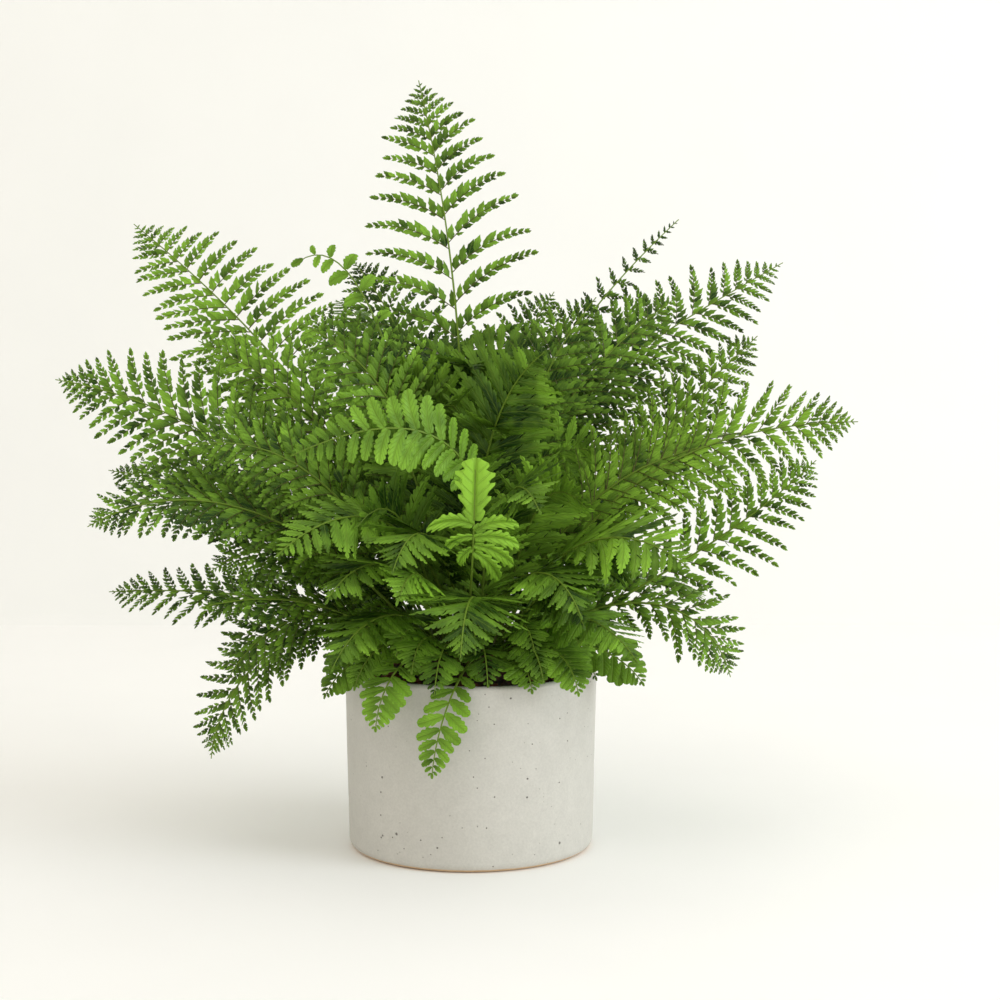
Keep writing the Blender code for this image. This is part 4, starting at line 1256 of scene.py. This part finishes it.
def make_stage(settings):
    """A floor that turns up into a wall through a quarter circle, and the lights and camera."""
    bend = arc((WALL_Y - WALL_BEND, WALL_BEND), WALL_BEND, -90, 0, 10)
    section = np.concatenate([[[-STAGE_REACH, 0.0]], bend, [[WALL_Y, STAGE_REACH]]])
    points = np.empty((len(section), 2, 3))
    points[..., 0] = (-STAGE_REACH, STAGE_REACH)
    points[..., 1:] = section[:, None]
    index = np.arange(2 * len(section)).reshape(-1, 2)
    mesh = bpy.data.meshes.new("studio_sweep")
    mesh.from_pydata(points.reshape(-1, 3).tolist(), [], corner_loops(index)[:, ::-1].tolist())
    mesh.polygons.foreach_set("use_smooth", np.ones(len(mesh.polygons), bool))
    mesh.materials.append(paper(settings))
    sweep = bpy.data.objects.new("studio_sweep", mesh)
    bpy.context.scene.collection.objects.link(sweep)
    for light, watts in zip(LIGHTS, (settings.key_watts, settings.fill_watts)):
        add_light(*light, watts)
    world = bpy.data.worlds.new("studio")
    world.use_nodes = True
    sky = world.node_tree.nodes["Background"].inputs
    sky["Color"].default_value = SKY_COLOUR
    sky["Strength"].default_value = settings.sky
    bpy.context.scene.world = world
    bpy.context.scene.view_settings.view_transform = "Standard"
    lens = bpy.data.cameras.new("camera")
    lens.lens = LENS
    lens.sensor_width = SENSOR
    camera = bpy.data.objects.new("camera", lens)
    camera.location = CAMERA_PLACE
    camera.rotation_euler = (math.radians(CAMERA_TILT), 0, 0)
    bpy.context.scene.collection.objects.link(camera)
    bpy.context.scene.camera = camera


def add_light(name, place, size, colour, watts):
    """A square soft light aimed at the fern's middle."""
    data = bpy.data.lights.new(name, "AREA")
    data.size = size
    data.energy = watts
    data.color = colour
    light = bpy.data.objects.new(name, data)
    light.location = place
    light.rotation_euler = (Vector(FERN_MIDDLE) - Vector(place)).to_track_quat("-Z", "Y").to_euler()
    bpy.context.scene.collection.objects.link(light)


class FERN_OT_pot(Operator):
    """Turn the stoneware pot"""

    bl_idname = "fern.pot"
    bl_label = "Pot"

    def execute(self, context):
        make_pot(context.scene.fern_pot)
        return {"FINISHED"}


class FERN_OT_mix(Operator):
    """Fill the pot with bark mix"""

    bl_idname = "fern.mix"
    bl_label = "Potting mix"

    def execute(self, context):
        make_mix(context.scene.fern_mix)
        return {"FINISHED"}


class FERN_OT_rhizome(Operator):
    """Set the scaly rhizome in the mix"""

    bl_idname = "fern.rhizome"
    bl_label = "Rhizome"

    def execute(self, context):
        make_rhizome(context.scene.fern_mix)
        return {"FINISHED"}


class FERN_OT_lacy(Operator):
    """Grow the lacy fronds"""

    bl_idname = "fern.lacy"
    bl_label = "Lacy fronds"

    def execute(self, context):
        settings = context.scene.fern_foliage
        finish = grow(settings, LACY, "Lacy blade", veins=34.0, relief=0.30 * MM)
        fronds = [heart_frond(i, settings.hearts) for i in range(settings.hearts)] + list(SIDE_FRONDS)
        make_extras(settings, finish, "heart_fronds", fronds)
        return {"FINISHED"}


class FERN_OT_broad(Operator):
    """Grow the fronds with whole leaflets"""

    bl_idname = "fern.broad"
    bl_label = "Broad fronds"

    def execute(self, context):
        settings = context.scene.fern_foliage
        finish = grow(settings, BROAD, "Broad blade", veins=42.0, relief=0.35 * MM)
        fronds = [collar_frond(i, settings.collar) for i in range(settings.collar)]
        make_extras(settings, finish, "collar_fronds", fronds)
        return {"FINISHED"}


class FERN_OT_young(Operator):
    """Grow the newest frond"""

    bl_idname = "fern.young"
    bl_label = "Young frond"

    def execute(self, context):
        settings = context.scene.fern_foliage
        grow(settings, YOUNG, "Young blade", veins=36.0, relief=0.5 * MM)
        return {"FINISHED"}


def grow(settings, form, name, veins, relief):
    """Every frond of one form, in one finish, which it returns."""
    finish = leaf_finish(name, settings, veins, relief)
    for frond in FRONDS:
        if frond.form is form:
            make_frond(frond, settings, finish)
    return finish


class FERN_OT_studio(Operator):
    """Set up the floor, the lights and the camera"""

    bl_idname = "fern.studio"
    bl_label = "Studio"

    def execute(self, context):
        make_stage(context.scene.fern_stage)
        return {"FINISHED"}


OPERATORS = (
    FERN_OT_pot,
    FERN_OT_mix,
    FERN_OT_rhizome,
    FERN_OT_lacy,
    FERN_OT_broad,
    FERN_OT_young,
    FERN_OT_studio,
)


class FERN_PT_panel(Panel):
    """Everything that the fern is made of"""

    bl_label = "Potted fern"
    bl_idname = "FERN_PT_panel"
    bl_space_type = "VIEW_3D"
    bl_region_type = "UI"
    bl_category = "Fern"

    def draw(self, context):
        for operator in OPERATORS:
            self.layout.operator(operator.bl_idname)
        for name, group in SETTINGS.items():
            box = self.layout.box()
            for setting in group.__annotations__:
                box.prop(getattr(context.scene, name), setting)


CLASSES = (*SETTINGS.values(), *OPERATORS, FERN_PT_panel)


def register():
    for each in CLASSES:
        bpy.utils.register_class(each)
    for name, group in SETTINGS.items():
        setattr(bpy.types.Scene, name, PointerProperty(type=group))


def unregister():
    for name in SETTINGS:
        delattr(bpy.types.Scene, name)
    for each in reversed(CLASSES):
        bpy.utils.unregister_class(each)


def main():
    register()
    bpy.ops.fern.pot()
    bpy.ops.fern.mix()
    bpy.ops.fern.rhizome()
    bpy.ops.fern.lacy()
    bpy.ops.fern.broad()
    bpy.ops.fern.young()
    bpy.ops.fern.studio()


if __name__ == "__main__":
    main()
